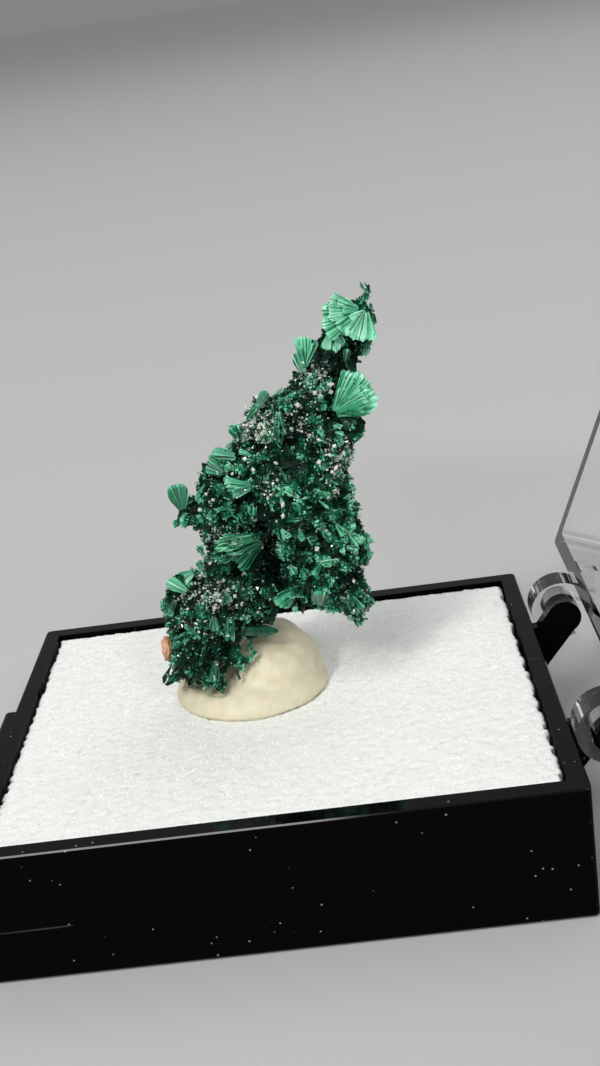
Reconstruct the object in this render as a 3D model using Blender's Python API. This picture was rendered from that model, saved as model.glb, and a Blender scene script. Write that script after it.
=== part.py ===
"""Malachite thumbnail specimen in a small hinged display box.

A lump of fibrous malachite is stuck with mineral putty to a foam pad in the black base of the box.
The clear lid turns on two pins at the right (+X) side and is modelled open, resting on the table
on its top edge. Frame: metres, +Z up, origin at the centre of the tray's underside.
"""

import math
import random

import bmesh
import bpy
from mathutils import Matrix, Vector

MM = 0.001
TAU = 2 * math.pi

# Driving dimensions of the box, in millimetres
BOX_WIDTH = 31.75
BOX_DEPTH = 27.0
TRAY_HEIGHT = 7.62
CLOSED_HEIGHT = 33.3
WALL = 1.0
CORNER_ROUND = 0.3
TRAY_FOOT_ROUND = 0.5
TRAY_RIM_CHAMFER = 0.07
LID_TOP_ROUND = 0.4
RIM_GAP = 0.1

# Hinge: two lugs with pins on the tray, two snap hooks on the lid
PIN_OFFSET = 2.0
PIN_HEIGHT = 7.65
PIN_RADIUS = 1.05
PIN_START = 6.3
PIN_END = 9.0
LUG_INNER = 5.7
LUG_OUTER = 6.45
LUG_FOOT = 3.0
HOOK_INNER = 6.75
HOOK_OUTER = 8.5
HOOK_BORE = 1.15
HOOK_RADIUS = 1.85
HOOK_FROM = math.radians(150)
HOOK_TO = math.radians(408)

# Thumb tab in the middle of the front (-X) wall
TAB_HALF_WIDTH = 2.4
TAB_REACH = 0.7
TAB_BOTTOM = 6.0
TAB_TOP = 7.5

# Foam pad and putty
PAD_GAP = 0.1
PAD_TOP = 7.42
PAD_CHAMFER = 0.25
PUTTY_GAP = 0.1
PUTTY_CLEARANCE = 0.14
# Each mound of putty: centre x, y, z and half sizes x, y, z
PUTTY_MOUNDS = [
    (-1.3, 1.9, 7.4, 4.6, 4.3, 1.9),
    (0.0, 2.3, 8.4, 3.0, 3.2, 2.6),
    (0.5, 2.4, 9.2, 1.7, 1.9, 2.3),
    (-3.4, 1.8, 7.6, 2.6, 2.6, 1.7),
]

# The specimen's rounded masses: centre x, y, z and half sizes x, y, z
MASSES = [
    (-3.9, 0.5, 10.9, 2.2, 2.2, 2.3),
    (-3.3, 0.8, 13.6, 2.6, 2.7, 2.3),
    (-1.6, 0.9, 14.6, 2.1, 2.7, 2.2),
    (-1.0, 1.4, 16.6, 2.0, 2.6, 2.6),
    (-0.6, 0.9, 19.0, 2.6, 2.9, 3.0),
    (2.2, 1.9, 18.0, 3.2, 3.0, 4.4),
    (3.6, 1.0, 19.4, 2.7, 3.2, 3.4),
    (4.6, 0.9, 16.4, 2.2, 2.9, 3.2),
    (2.9, 0.8, 13.9, 3.1, 2.4, 1.5),
    (5.0, 0.7, 13.4, 1.7, 2.0, 1.6),
    (1.6, 1.3, 21.4, 3.1, 2.8, 2.3),
    (4.2, 1.5, 21.9, 2.3, 2.5, 2.4),
    (2.6, 1.5, 23.6, 2.7, 2.3, 1.9),
    (4.4, 1.5, 24.9, 1.9, 1.7, 2.0),
    (5.2, 1.5, 26.6, 1.3, 1.3, 1.7),
    (6.6, 1.5, 28.3, 1.3, 1.1, 1.6),
    (7.5, 1.5, 28.9, 1.0, 0.8, 1.5),
    (6.9, 1.7, 26.8, 0.9, 0.7, 1.1),
    (4.9, 1.5, 27.6, 0.9, 0.8, 0.9),
    (-1.0, 0.7, 12.2, 1.3, 1.2, 1.1),
]
# Deep hollows between the masses: centre x, y, z and half sizes x, y, z
HOLLOWS = [
    (0.9, -2.9, 16.3, 1.2, 2.9, 2.4),
    (3.9, -2.6, 13.9, 0.8, 1.5, 0.6),
]
# Fans of blades: root x, y, z, tip x, y, z and half width at the tip
FANS = [
    (6.2, 1.0, 27.3, 8.1, 0.6, 30.0, 1.3),
    (5.6, 1.0, 24.3, 8.1, 0.2, 25.1, 1.35),
    (5.5, 1.2, 23.6, 7.5, 0.6, 22.7, 1.0),
    (7.8, 1.4, 28.6, 8.45, 1.2, 30.9, 0.35),
    (7.2, 1.2, 27.4, 8.5, 0.9, 28.0, 0.7),
    (2.6, 0.4, 23.4, -0.3, -0.2, 23.6, 1.3),
    (-0.6, 0.6, 20.2, -2.4, -0.2, 21.7, 1.0),
    (-0.4, 0.5, 21.2, -2.1, 0.1, 22.5, 0.6),
    (-0.8, -1.2, 20.0, -2.0, -2.3, 20.8, 0.8),
    (-2.2, 0.6, 19.4, -4.1, 0.3, 20.7, 0.7),
    (-2.2, 0.4, 19.0, -4.3, 0.1, 18.9, 0.5),
    (-0.4, -0.6, 16.4, -2.9, -2.4, 16.9, 0.9),
    (-3.2, 0.4, 14.4, -5.4, 0.0, 15.6, 1.0),
    (-3.8, 0.4, 13.2, -6.1, 0.2, 13.2, 1.0),
    (-4.4, 0.4, 11.6, -6.4, 0.2, 10.9, 1.0),
    (-5.0, 0.2, 10.4, -6.4, -0.2, 9.1, 0.4),
    (-4.4, 0.0, 10.2, -4.8, -0.6, 8.5, 0.7),
    (-3.4, 0.0, 10.4, -2.8, -0.8, 8.5, 0.8),
    (-2.6, 0.0, 11.2, -1.0, -0.6, 9.9, 0.8),
    (4.8, 0.6, 12.9, 5.7, 0.2, 11.2, 0.6),
    (5.2, 0.8, 13.4, 6.7, 0.4, 12.5, 0.7),
    (5.6, 0.8, 15.6, 7.1, 0.4, 16.6, 1.1),
    (5.4, 0.8, 18.6, 6.8, 0.4, 18.2, 0.9),
    (4.9, 1.0, 21.4, 6.5, 0.6, 22.3, 0.8),
    (0.9, 0.4, 13.2, 0.0, -0.4, 12.2, 0.8),
]
FAN_ROOT_THICKNESS = 0.9
FAN_TIP_THICKNESS = 0.45
FAN_STEPS = 6
VOXEL = 0.24
LUMP_HEIGHT = 0.3
LUMP_SIZE = 0.75
SPECIMEN_TRIANGLES = 6400
PUTTY_VOXEL = 0.25
PUTTY_TRIANGLES = 1000
FOOT_CUT = 12.6
SOCKET_TRIANGLES = 1500

PIN_X = BOX_WIDTH / 2 + PIN_OFFSET


def lid_rest_angle():
    """The opening angle at which the lid's rounded top edge reaches the table."""
    drop = PIN_HEIGHT - LID_TOP_ROUND
    reach = PIN_OFFSET + LID_TOP_ROUND
    height = CLOSED_HEIGHT - PIN_HEIGHT - LID_TOP_ROUND
    radius = math.hypot(reach, height)
    return math.pi / 2 + math.asin(drop / radius) + math.atan2(reach, height)


LID_ANGLE = lid_rest_angle()


def clear_scene():
    """Remove every object that the startup scene holds."""
    for obj in list(bpy.data.objects):
        bpy.data.objects.remove(obj, do_unlink=True)


def material(name, colour, roughness, metallic=0.0, transmission=0.0):
    """A Principled material in one colour."""
    made = bpy.data.materials.new(name)
    made.use_nodes = True
    shader = made.node_tree.nodes["Principled BSDF"]
    shader.inputs["Base Color"].default_value = (*colour, 1.0)
    shader.inputs["Roughness"].default_value = roughness
    shader.inputs["Metallic"].default_value = metallic
    shader.inputs["Transmission Weight"].default_value = transmission
    return made


def add_object(name, bm, finish=None):
    """Turn a bmesh in millimetres into an object in metres."""
    bmesh.ops.recalc_face_normals(bm, faces=bm.faces)
    bmesh.ops.scale(bm, vec=(MM, MM, MM), verts=bm.verts)
    mesh = bpy.data.meshes.new(name)
    bm.to_mesh(mesh)
    bm.free()
    obj = bpy.data.objects.new(name, mesh)
    bpy.context.scene.collection.objects.link(obj)
    if finish:
        mesh.materials.append(finish)
    return obj


def block_mesh(low, high):
    """A plain block between two corners."""
    bm = bmesh.new()
    size = [b - a for a, b in zip(low, high)]
    middle = [(a + b) / 2 for a, b in zip(low, high)]
    place = Matrix.Translation(middle) @ Matrix.Diagonal((*size, 1.0))
    bmesh.ops.create_cube(bm, size=1.0, matrix=place)
    return bm


def bevel(bm, edges, radius, segments):
    """Round the given edges, or chamfer them with one segment."""
    bmesh.ops.bevel(
        bm, geom=edges, offset=radius, offset_type="OFFSET", segments=segments,
        profile=0.5, affect="EDGES", clamp_overlap=True,
    )


def round_edges(bm, chosen, radius, segments):
    """Bevel the edges whose two end points both pass the test."""
    edges = [e for e in bm.edges if all(chosen(v.co) for v in e.verts)]
    bevel(bm, edges, radius, segments)


def is_upright(edge):
    """Whether an edge runs along Z."""
    across = edge.verts[0].co - edge.verts[1].co
    return abs(across.z) > across.xy.length * 1e3


def round_uprights(bm, radius, segments):
    """Bevel the edges that run along Z."""
    bevel(bm, [e for e in bm.edges if is_upright(e)], radius, segments)


def prism_mesh(profile, start, end):
    """An (x, z) outline drawn out along Y."""
    bm = bmesh.new()
    near = [bm.verts.new((x, start, z)) for x, z in profile]
    far = [bm.verts.new((x, end, z)) for x, z in profile]
    bm.faces.new(near)
    bm.faces.new(list(reversed(far)))
    for i, _ in enumerate(profile):
        j = (i + 1) % len(profile)
        bm.faces.new((near[i], far[i], far[j], near[j]))
    return bm


def arc(centre, radius, start, end, steps):
    """Points (x, z) along an arc."""
    turns = [start + (end - start) * i / steps for i in range(steps + 1)]
    return [(centre[0] + radius * math.cos(t), centre[1] + radius * math.sin(t)) for t in turns]


def combine(target, tool, operation):
    """Add an exact Boolean of a hidden helper to an object."""
    tool.hide_render = True
    tool.display_type = "WIRE"
    step = target.modifiers.new(f"{operation.title()} {tool.name}", "BOOLEAN")
    step.operation = operation
    step.solver = "EXACT"
    step.object = tool


def smooth_shading(obj, degrees=35):
    """Round stretches look round, and edges stay crisp."""
    obj.data.shade_smooth()
    obj.data.set_sharp_from_angle(angle=math.radians(degrees))


def mirrored(start, end):
    """The same stretch along Y on both sides of the middle, low end first."""
    return [(start, end), (-end, -start)]


def make_tray():
    """The black base: an open tray with a thumb tab, two hinge lugs and their pins."""
    half_x = BOX_WIDTH / 2
    half_y = BOX_DEPTH / 2
    bm = block_mesh((-half_x, -half_y, 0.0), (half_x, half_y, TRAY_HEIGHT))
    round_uprights(bm, CORNER_ROUND, 3)
    round_edges(bm, lambda p: p.z < 0.01, TRAY_FOOT_ROUND, 4)
    round_edges(bm, lambda p: p.z > TRAY_HEIGHT - 0.01, TRAY_RIM_CHAMFER, 1)
    black = material("black styrene", (0.006, 0.006, 0.007), 0.12)
    tray = add_object("box_base", bm, black)

    inside = block_mesh(
        (WALL - half_x, WALL - half_y, WALL), (half_x - WALL, half_y - WALL, TRAY_HEIGHT + 1.0)
    )
    combine(tray, add_object("tray_inside", inside), "DIFFERENCE")

    tab = block_mesh(
        (-half_x - TAB_REACH, -TAB_HALF_WIDTH, TAB_BOTTOM), (-half_x + 0.3, TAB_HALF_WIDTH, TAB_TOP)
    )
    round_edges(tab, lambda p: p.x < -half_x - TAB_REACH + 0.01, 0.2, 2)
    combine(tray, add_object("thumb_tab", tab), "UNION")

    pin_axis = (PIN_X, PIN_HEIGHT)
    inner_x = half_x - WALL / 2
    boss = arc(pin_axis, PIN_RADIUS, math.radians(-58), math.radians(140), 14)
    lug_profile = [(inner_x, LUG_FOOT), *boss, (half_x + 0.35, 7.2), (inner_x, 7.2)]
    pin_profile = arc(pin_axis, PIN_RADIUS, 0.0, TAU * 23 / 24, 23)
    for number, (low, high) in enumerate(mirrored(LUG_INNER, LUG_OUTER)):
        lug = add_object(f"lug_{number}", prism_mesh(lug_profile, low, high))
        combine(tray, lug, "UNION")
    for number, (low, high) in enumerate(mirrored(PIN_START, PIN_END)):
        bm = prism_mesh(pin_profile, low, high)
        outer = high if high > 0 else low
        round_edges(bm, lambda p, y=outer: abs(p.y - y) < 0.01, 0.15, 1)
        combine(tray, add_object(f"pin_{number}", bm), "UNION")
    return tray


def make_lid():
    """The clear lid with its two snap hooks, drawn closed and then opened about the pins."""
    half_x = BOX_WIDTH / 2
    half_y = BOX_DEPTH / 2
    rim = TRAY_HEIGHT + RIM_GAP
    shift = Matrix.Translation((-PIN_X, 0.0, -PIN_HEIGHT))
    bm = block_mesh((-half_x, -half_y, rim), (half_x, half_y, CLOSED_HEIGHT))
    round_uprights(bm, CORNER_ROUND, 3)
    round_edges(bm, lambda p: p.z > CLOSED_HEIGHT - 0.01, LID_TOP_ROUND, 4)
    bmesh.ops.transform(bm, matrix=shift, verts=bm.verts)
    clear = material("clear styrene", (0.95, 0.95, 0.95), 0.03, transmission=1.0)
    lid = add_object("lid", bm, clear)

    helpers = []
    inside = block_mesh(
        (WALL - half_x, WALL - half_y, rim - 1.0),
        (half_x - WALL, half_y - WALL, CLOSED_HEIGHT - WALL),
    )
    round_uprights(inside, CORNER_ROUND, 2)
    helpers.append(("lid_inside", inside, "DIFFERENCE"))

    pin_axis = (PIN_X, PIN_HEIGHT)
    hook = arc(pin_axis, HOOK_RADIUS, HOOK_FROM, HOOK_TO, 26)
    hook += arc(pin_axis, HOOK_BORE, HOOK_TO, HOOK_FROM, 26)
    web_low = (half_x - WALL / 2, rim + 0.13)
    web_high = (PIN_X - PIN_OFFSET * 0.45, rim + 1.6)
    web = [web_low, (web_high[0], web_low[1]), web_high, (web_low[0], web_high[1])]
    bore = arc(pin_axis, HOOK_BORE, 0.0, TAU * 31 / 32, 31)
    for number, (low, high) in enumerate(mirrored(HOOK_INNER, HOOK_OUTER)):
        helpers.append((f"web_{number}", prism_mesh(web, low, high), "UNION"))
    helpers.append(("hook_bore", prism_mesh(bore, -HOOK_OUTER - 1.0, HOOK_OUTER + 1.0), "DIFFERENCE"))
    for number, (low, high) in enumerate(mirrored(HOOK_INNER, HOOK_OUTER)):
        helpers.append((f"hook_{number}", prism_mesh(hook, low, high), "UNION"))
    place = Matrix.Translation((PIN_X * MM, 0.0, PIN_HEIGHT * MM)) @ Matrix.Rotation(LID_ANGLE, 4, "Y")
    for name, shape, operation in helpers:
        bmesh.ops.transform(shape, matrix=shift, verts=shape.verts)
        tool = add_object(name, shape)
        tool.matrix_world = place
        combine(lid, tool, operation)
    lid.matrix_world = place
    return lid


def make_pad():
    """The foam pad that fills the tray almost to its rim."""
    half_x = BOX_WIDTH / 2 - WALL - PAD_GAP
    half_y = BOX_DEPTH / 2 - WALL - PAD_GAP
    bm = block_mesh((-half_x, -half_y, WALL + PAD_GAP), (half_x, half_y, PAD_TOP))
    round_edges(bm, lambda p: p.z > PAD_TOP - 0.01, PAD_CHAMFER, 2)
    white = material("white foam", (0.82, 0.83, 0.84), 0.9)
    return add_object("foam_pad", bm, white)


def add_mass(bm, numbers, subdivisions=3):
    """An ellipsoid from its centre and half sizes."""
    place = Matrix.Translation(numbers[:3]) @ Matrix.Diagonal((*numbers[3:], 1.0))
    bmesh.ops.create_icosphere(bm, subdivisions=subdivisions, radius=1.0, matrix=place)


def add_fan(bm, root, tip, half_width, random_turn):
    """A fan of blades grown together: thick at the root, wide and scalloped at the tip."""
    along = (tip - root).normalized()
    length = (tip - root).length
    side = along.cross(Vector((0.0, -1.0, 0.25))).normalized()
    side = Matrix.Rotation(random_turn, 3, along) @ side
    up = side.cross(along)
    spread = math.atan2(half_width, length)
    low = []
    high = []
    for i in range(FAN_STEPS + 1):
        turn = spread * (2 * i / FAN_STEPS - 1)
        reach = length * (1.0 if i % 2 else 0.93)
        point = root + reach * (math.cos(turn) * along + math.sin(turn) * side)
        low.append(bm.verts.new(point - up * FAN_TIP_THICKNESS / 2))
        high.append(bm.verts.new(point + up * FAN_TIP_THICKNESS / 2))
    corners = []
    for a in (-1, 1):
        for b in (-1, 1):
            corners.append(root + side * a * FAN_ROOT_THICKNESS / 2 + up * b * FAN_ROOT_THICKNESS / 2)
    root_low = [bm.verts.new(corners[0]), bm.verts.new(corners[2])]
    root_high = [bm.verts.new(corners[1]), bm.verts.new(corners[3])]
    bm.faces.new([root_low[0], *low, root_low[1]])
    bm.faces.new([root_high[1], *reversed(high), root_high[0]])
    bm.faces.new([root_low[0], root_low[1], root_high[1], root_high[0]])
    bm.faces.new([root_low[0], root_high[0], high[0], low[0]])
    bm.faces.new([root_low[1], low[-1], high[-1], root_high[1]])
    for i in range(FAN_STEPS):
        bm.faces.new([low[i], high[i], high[i + 1], low[i + 1]])


def remesh(obj, voxel):
    """Melt overlapping shapes into one skin."""
    step = obj.modifiers.new("One skin", "REMESH")
    step.mode = "VOXEL"
    step.voxel_size = voxel * MM
    step.adaptivity = 0.0


def thin_out(obj, triangles, count_before):
    """Keep about the given number of triangles."""
    step = obj.modifiers.new("Fewer triangles", "DECIMATE")
    step.ratio = min(1.0, triangles / count_before)


def evaluated_copy(obj):
    """A bmesh of the object with its modifiers, in metres."""
    graph = bpy.context.evaluated_depsgraph_get()
    bm = bmesh.new()
    bm.from_object(obj, graph)
    return bm


def count_triangles(obj):
    bpy.context.view_layer.update()
    bm = evaluated_copy(obj)
    found = sum(len(face.verts) - 2 for face in bm.faces)
    bm.free()
    return found


def keep_largest(obj):
    """Replace the object's mesh by the largest closed piece of its evaluated form."""
    bpy.context.view_layer.update()
    bm = evaluated_copy(obj)
    left = set(bm.verts)
    groups = []
    while left:
        stack = [left.pop()]
        group = []
        while stack:
            vert = stack.pop()
            group.append(vert)
            near = {e.other_vert(vert) for e in vert.link_edges} & left
            left -= near
            stack.extend(near)
        groups.append(group)
    groups.sort(key=len)
    crumbs = [vert for group in groups[:-1] for vert in group]
    bmesh.ops.delete(bm, geom=crumbs, context="VERTS")
    obj.modifiers.clear()
    bm.to_mesh(obj.data)
    bm.free()


def make_specimen():
    """The malachite: masses melted together, fans at their rims, hollows and a drusy skin."""
    draw = random.Random(7)
    bm = bmesh.new()
    for mass in MASSES:
        add_mass(bm, mass)
    for fan in FANS:
        add_fan(bm, Vector(fan[:3]), Vector(fan[3:6]), fan[6], draw.uniform(-0.5, 0.5))
    green = material("malachite", (0.02, 0.22, 0.13), 0.45)
    stone = add_object("malachite", bm, green)
    remesh(stone, VOXEL)
    hollows = bmesh.new()
    for hollow in HOLLOWS:
        add_mass(hollows, hollow)
    combine(stone, add_object("hollows", hollows), "DIFFERENCE")
    lumps = bpy.data.textures.new("drusy lumps", "VORONOI")
    lumps.noise_scale = LUMP_SIZE * MM
    step = stone.modifiers.new("Drusy lumps", "DISPLACE")
    step.texture = lumps
    step.texture_coords = "LOCAL"
    step.mid_level = 0.75
    step.strength = -LUMP_HEIGHT * MM
    remesh(stone, VOXEL)
    keep_largest(stone)
    thin_out(stone, SPECIMEN_TRIANGLES, count_triangles(stone))
    return stone


def foot_of(stone):
    """The specimen's lower part in millimetres, closed flat at the top."""
    bm = evaluated_copy(stone)
    bmesh.ops.scale(bm, vec=(1 / MM, 1 / MM, 1 / MM), verts=bm.verts)
    cut = bmesh.ops.bisect_plane(
        bm, geom=bm.verts[:] + bm.edges[:] + bm.faces[:], plane_co=(0.0, 0.0, FOOT_CUT),
        plane_no=(0.0, 0.0, 1.0), clear_outer=True,
    )
    rim = [g for g in cut["geom_cut"] if isinstance(g, bmesh.types.BMEdge)]
    bmesh.ops.edgeloop_fill(bm, edges=rim)
    return bm


def make_putty(stone):
    """The mound of putty, with the socket that the specimen's foot has pressed into it."""
    bm = bmesh.new()
    for mound in PUTTY_MOUNDS:
        add_mass(bm, mound)
    cream = material("mineral putty", (0.80, 0.74, 0.58), 0.6)
    putty = add_object("putty", bm, cream)
    remesh(putty, PUTTY_VOXEL)
    step = putty.modifiers.new("Worked smooth", "SMOOTH")
    step.factor = 0.5
    step.iterations = 6
    thin_out(putty, PUTTY_TRIANGLES, count_triangles(putty))
    floor = PAD_TOP + PUTTY_GAP
    below = add_object("below_putty", block_mesh((-9.0, -6.0, 0.0), (7.0, 10.0, floor)))
    combine(putty, below, "DIFFERENCE")

    socket = add_object("foot_socket", foot_of(stone))
    step = socket.modifiers.new("Clearance", "DISPLACE")
    step.strength = PUTTY_CLEARANCE * MM
    step.mid_level = 0.0
    remesh(socket, PUTTY_VOXEL)
    thin_out(socket, SOCKET_TRIANGLES, count_triangles(socket))
    combine(putty, socket, "DIFFERENCE")
    keep_largest(putty)
    return putty


def main():
    clear_scene()
    tray = make_tray()
    pad = make_pad()
    stone = make_specimen()
    make_putty(stone)
    lid = make_lid()
    for obj in (tray, pad, lid):
        smooth_shading(obj)


main()
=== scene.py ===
# %% [markdown]
# # A malachite thumbnail specimen in its display box
#
# The object is a leaning lump of fibrous malachite, 23 millimetres tall. It is stuck with cream
# putty to a white foam pad in a glossy black tray, whose clear lid stands open on two hinge pins.
# This lesson dresses the bare solids of the model. The mineral takes most of the work, because
# a mineral is all surface: fans of silky blades, black sparkling crusts and dark hollows.

import math

import bmesh
import bpy
import numpy as np
from mathutils import Matrix, Vector
from mathutils import noise as space_noise
from mathutils.bvhtree import BVHTree


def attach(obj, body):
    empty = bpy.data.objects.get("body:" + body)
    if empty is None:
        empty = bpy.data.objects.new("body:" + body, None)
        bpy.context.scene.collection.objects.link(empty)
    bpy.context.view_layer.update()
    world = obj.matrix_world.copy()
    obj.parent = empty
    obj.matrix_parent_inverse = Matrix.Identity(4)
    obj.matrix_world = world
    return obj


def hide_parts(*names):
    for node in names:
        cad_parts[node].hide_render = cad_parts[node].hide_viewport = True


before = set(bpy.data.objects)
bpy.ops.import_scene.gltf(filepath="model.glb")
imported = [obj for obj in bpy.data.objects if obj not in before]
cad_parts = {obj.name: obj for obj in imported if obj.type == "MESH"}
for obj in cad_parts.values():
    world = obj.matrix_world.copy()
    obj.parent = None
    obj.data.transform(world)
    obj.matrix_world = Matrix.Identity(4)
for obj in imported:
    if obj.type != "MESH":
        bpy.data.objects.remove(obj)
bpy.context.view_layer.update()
MM = 0.001
print("solids:", sorted(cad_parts))

# %% [markdown]
# ## The camera
#
# A photograph of a small thing shows strong perspective, so the camera has to stand where the
# real one stood. The six visible corners of the tray fix its place: here it is given as a point
# in millimetres, three turns, and a focal length in pixels of the 600 by 1066 picture. Blender
# wants that length in millimetres of a 36 mm film, measured along the picture's longer side.

# %% Place the camera
PICTURE_WIDTH = 600
PICTURE_HEIGHT = 1066
FOCAL_PIXELS = 1391.8
FILM_MM = 36.0
CAMERA_PLACE = Vector((6.828, -72.149, 45.358)) * MM
CAMERA_PITCH = -0.367
CAMERA_ROLL = 0.147
CAMERA_YAW = 0.055

facing = (
    Matrix.Rotation(CAMERA_YAW, 3, "Z")
    @ Matrix.Rotation(CAMERA_PITCH, 3, "X")
    @ Matrix.Rotation(CAMERA_ROLL, 3, "Y")
)
look_from_y = Matrix.Rotation(math.pi / 2, 3, "X")
camera_data = bpy.data.cameras.new("camera")
camera_data.lens = FOCAL_PIXELS * FILM_MM / PICTURE_HEIGHT
camera_data.sensor_width = FILM_MM
camera_data.clip_start = 0.005
camera = bpy.data.objects.new("camera", camera_data)
camera.matrix_world = Matrix.Translation(CAMERA_PLACE) @ (facing @ look_from_y).to_4x4()
bpy.context.scene.collection.objects.link(camera)
bpy.context.scene.camera = camera
print("lens in mm:", round(camera_data.lens, 1))

# %% [markdown]
# ## Light and floor
#
# A mineral is photographed under a soft box, with two smaller, harder lamps that make the crystal
# faces flash. Large area lights give soft edges, and small ones give glints. The floor is a
# plain pale sheet that runs to the horizon, and a wide soft sun lights its far end to the grey
# of the sky, so that the two meet without a line. The Standard view keeps blacks black, which
# this dark, glittering stone needs.

# %% Floor, sky and lamps
FLOOR_HALF = 60.0
FLOOR_GREY = 0.52
FLOOR_ROUGHNESS = 0.8
HORIZON_GREY = 0.23
HORIZON_UNTIL = 0.12
ZENITH_GREY = 0.16
ZENITH_FROM = 0.7
SUN_STRENGTH = 0.75
SUN_WIDTH = 80
SUN_AIM = (-0.35, -0.15, -1.0)
SUBJECT = (0.003, 0.0, 0.018)
WHITE = (1.0, 1.0, 1.0)
# Each lamp: name, place and side (in metres), power (in watts) and colour
LAMPS = [
    ("soft box", (-0.35, -0.75, 1.3), 0.6, 8.5, WHITE),
    ("glint lamp", (-0.50, -0.85, 0.85), 0.16, 5.2, (1.0, 0.98, 0.95)),
    ("side glint", (0.45, -0.90, 0.70), 0.14, 2.2, WHITE),
    ("back strip", (0.55, 0.60, 0.90), 0.60, 1.5, WHITE),
]


def ramp(nodes, stops):
    """A colour ramp from (place, colour) pairs."""
    node = nodes.new("ShaderNodeValToRGB")
    bar = node.color_ramp
    while len(bar.elements) < len(stops):
        bar.elements.new(0.5)
    for element, (place, colour) in zip(bar.elements, stops):
        element.position = place
        element.color = (*colour, 1.0)
    return node


def principled(name, colour, roughness, **sockets):
    """A new material with a Principled shader and the given plain values on its sockets."""
    made = bpy.data.materials.new(name)
    made.use_nodes = True
    shader = made.node_tree.nodes["Principled BSDF"]
    shader.inputs["Base Color"].default_value = (*colour, 1.0)
    shader.inputs["Roughness"].default_value = roughness
    for socket, value in sockets.items():
        shader.inputs[socket.replace("_", " ")].default_value = value
    return made


def area_lamp(name, place, size, power, colour):
    """A square area light that looks at the specimen."""
    data = bpy.data.lights.new(name, "AREA")
    data.size = size
    data.energy = power
    data.color = colour
    lamp = bpy.data.objects.new(name, data)
    lamp.location = place
    lamp.rotation_euler = (Vector(SUBJECT) - Vector(place)).to_track_quat("-Z", "Y").to_euler()
    bpy.context.scene.collection.objects.link(lamp)


floor_mesh = bpy.data.meshes.new("floor")
corners = [(x * FLOOR_HALF, y * FLOOR_HALF, 0.0) for x, y in ((-1, -1), (1, -1), (1, 1), (-1, 1))]
floor_mesh.from_pydata(corners, [], [(0, 1, 2, 3)])
floor = bpy.data.objects.new("floor", floor_mesh)
floor_mesh.materials.append(principled("pale paper", (FLOOR_GREY,) * 3, FLOOR_ROUGHNESS))
bpy.context.scene.collection.objects.link(floor)

world = bpy.data.worlds.new("studio")
world.use_nodes = True
sky = world.node_tree
height = sky.nodes.new("ShaderNodeSeparateXYZ")
horizon = (HORIZON_GREY,) * 3
zenith = (ZENITH_GREY,) * 3
sky_ramp = ramp(sky.nodes, [(0.0, horizon), (HORIZON_UNTIL, horizon), (ZENITH_FROM, zenith)])
sky.links.new(sky.nodes.new("ShaderNodeTexCoord").outputs["Generated"], height.inputs[0])
sky.links.new(height.outputs["Z"], sky_ramp.inputs["Fac"])
sky.links.new(sky_ramp.outputs["Color"], sky.nodes["Background"].inputs["Color"])
bpy.context.scene.world = world
bpy.context.scene.view_settings.view_transform = "Standard"

sun_data = bpy.data.lights.new("wide soft sun", "SUN")
sun_data.energy = SUN_STRENGTH
sun_data.angle = math.radians(SUN_WIDTH)
sun = bpy.data.objects.new("wide soft sun", sun_data)
sun.rotation_euler = Vector(SUN_AIM).to_track_quat("-Z", "Y").to_euler()
bpy.context.scene.collection.objects.link(sun)

for lamp_row in LAMPS:
    area_lamp(*lamp_row)

# %% [markdown]
# ## The core of the specimen
#
# The lump itself is already in the model as a solid, but with faces half a millimetre wide. A
# voxel remesh melts it into an even net of tiny faces, which noise can then carve. The net is
# drawn in a little first, because the blades and grains that follow stand out from it.

# %% Draw a fine net over the lump
CORE_VOXEL = 0.13 * MM
CORE_SINK = 0.20 * MM
PORE_SIZE = 0.5 * MM
PORE_DEPTH = 0.24 * MM
PORE_MIDDLE = 0.35
GRIT_SIZE = 0.25 * MM
GRIT_DEPTH = 0.14 * MM
GRIT_MIDDLE = 0.4


def new_piece(name, mesh, finish, body):
    """Link a mesh as a piece of the object, on its body and with its finish."""
    piece = bpy.data.objects.new(name, mesh)
    mesh.materials.clear()
    mesh.materials.append(finish)
    bpy.context.scene.collection.objects.link(piece)
    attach(piece, body)
    return piece


def cloud_texture(name, kind, size):
    """One of Blender's built-in textures, for displacing a mesh."""
    texture = bpy.data.textures.new(name, kind)
    texture.noise_scale = size
    return texture


def displace(obj, strength, texture=None, middle=0.5):
    """Add a displacement along the normals."""
    step = obj.modifiers.new("displace", "DISPLACE")
    step.strength = strength
    step.mid_level = middle
    if texture:
        step.texture = texture
        step.texture_coords = "LOCAL"


def voxel_remesh(obj, voxel):
    """Add a remesh to even small faces."""
    step = obj.modifiers.new("remesh", "REMESH")
    step.mode = "VOXEL"
    step.voxel_size = voxel


def apply_modifiers(obj):
    """Replace the object's mesh by its evaluated form."""
    graph = bpy.context.evaluated_depsgraph_get()
    mesh = bpy.data.meshes.new_from_object(obj.evaluated_get(graph))
    obj.modifiers.clear()
    obj.data = mesh
    return mesh


core = bpy.data.objects.new("malachite_core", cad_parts["malachite"].data.copy())
bpy.context.scene.collection.objects.link(core)
voxel_remesh(core, CORE_VOXEL)
displace(core, -CORE_SINK, middle=0.0)
voxel_remesh(core, CORE_VOXEL)
displace(core, -PORE_DEPTH, cloud_texture("pores", "VORONOI", PORE_SIZE), PORE_MIDDLE)
displace(core, -GRIT_DEPTH, cloud_texture("grit", "VORONOI", GRIT_SIZE), GRIT_MIDDLE)
core_mesh = apply_modifiers(core)
print("core faces:", len(core_mesh.polygons))

# %% [markdown]
# ## Where things grow
#
# Blades and grains need places on the core: a point, the direction straight out of the surface
# there, and a few facts about the neighbourhood. Picking faces with a chance that follows their
# area spreads the points evenly. Numpy handles tens of thousands of them at once.

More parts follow.
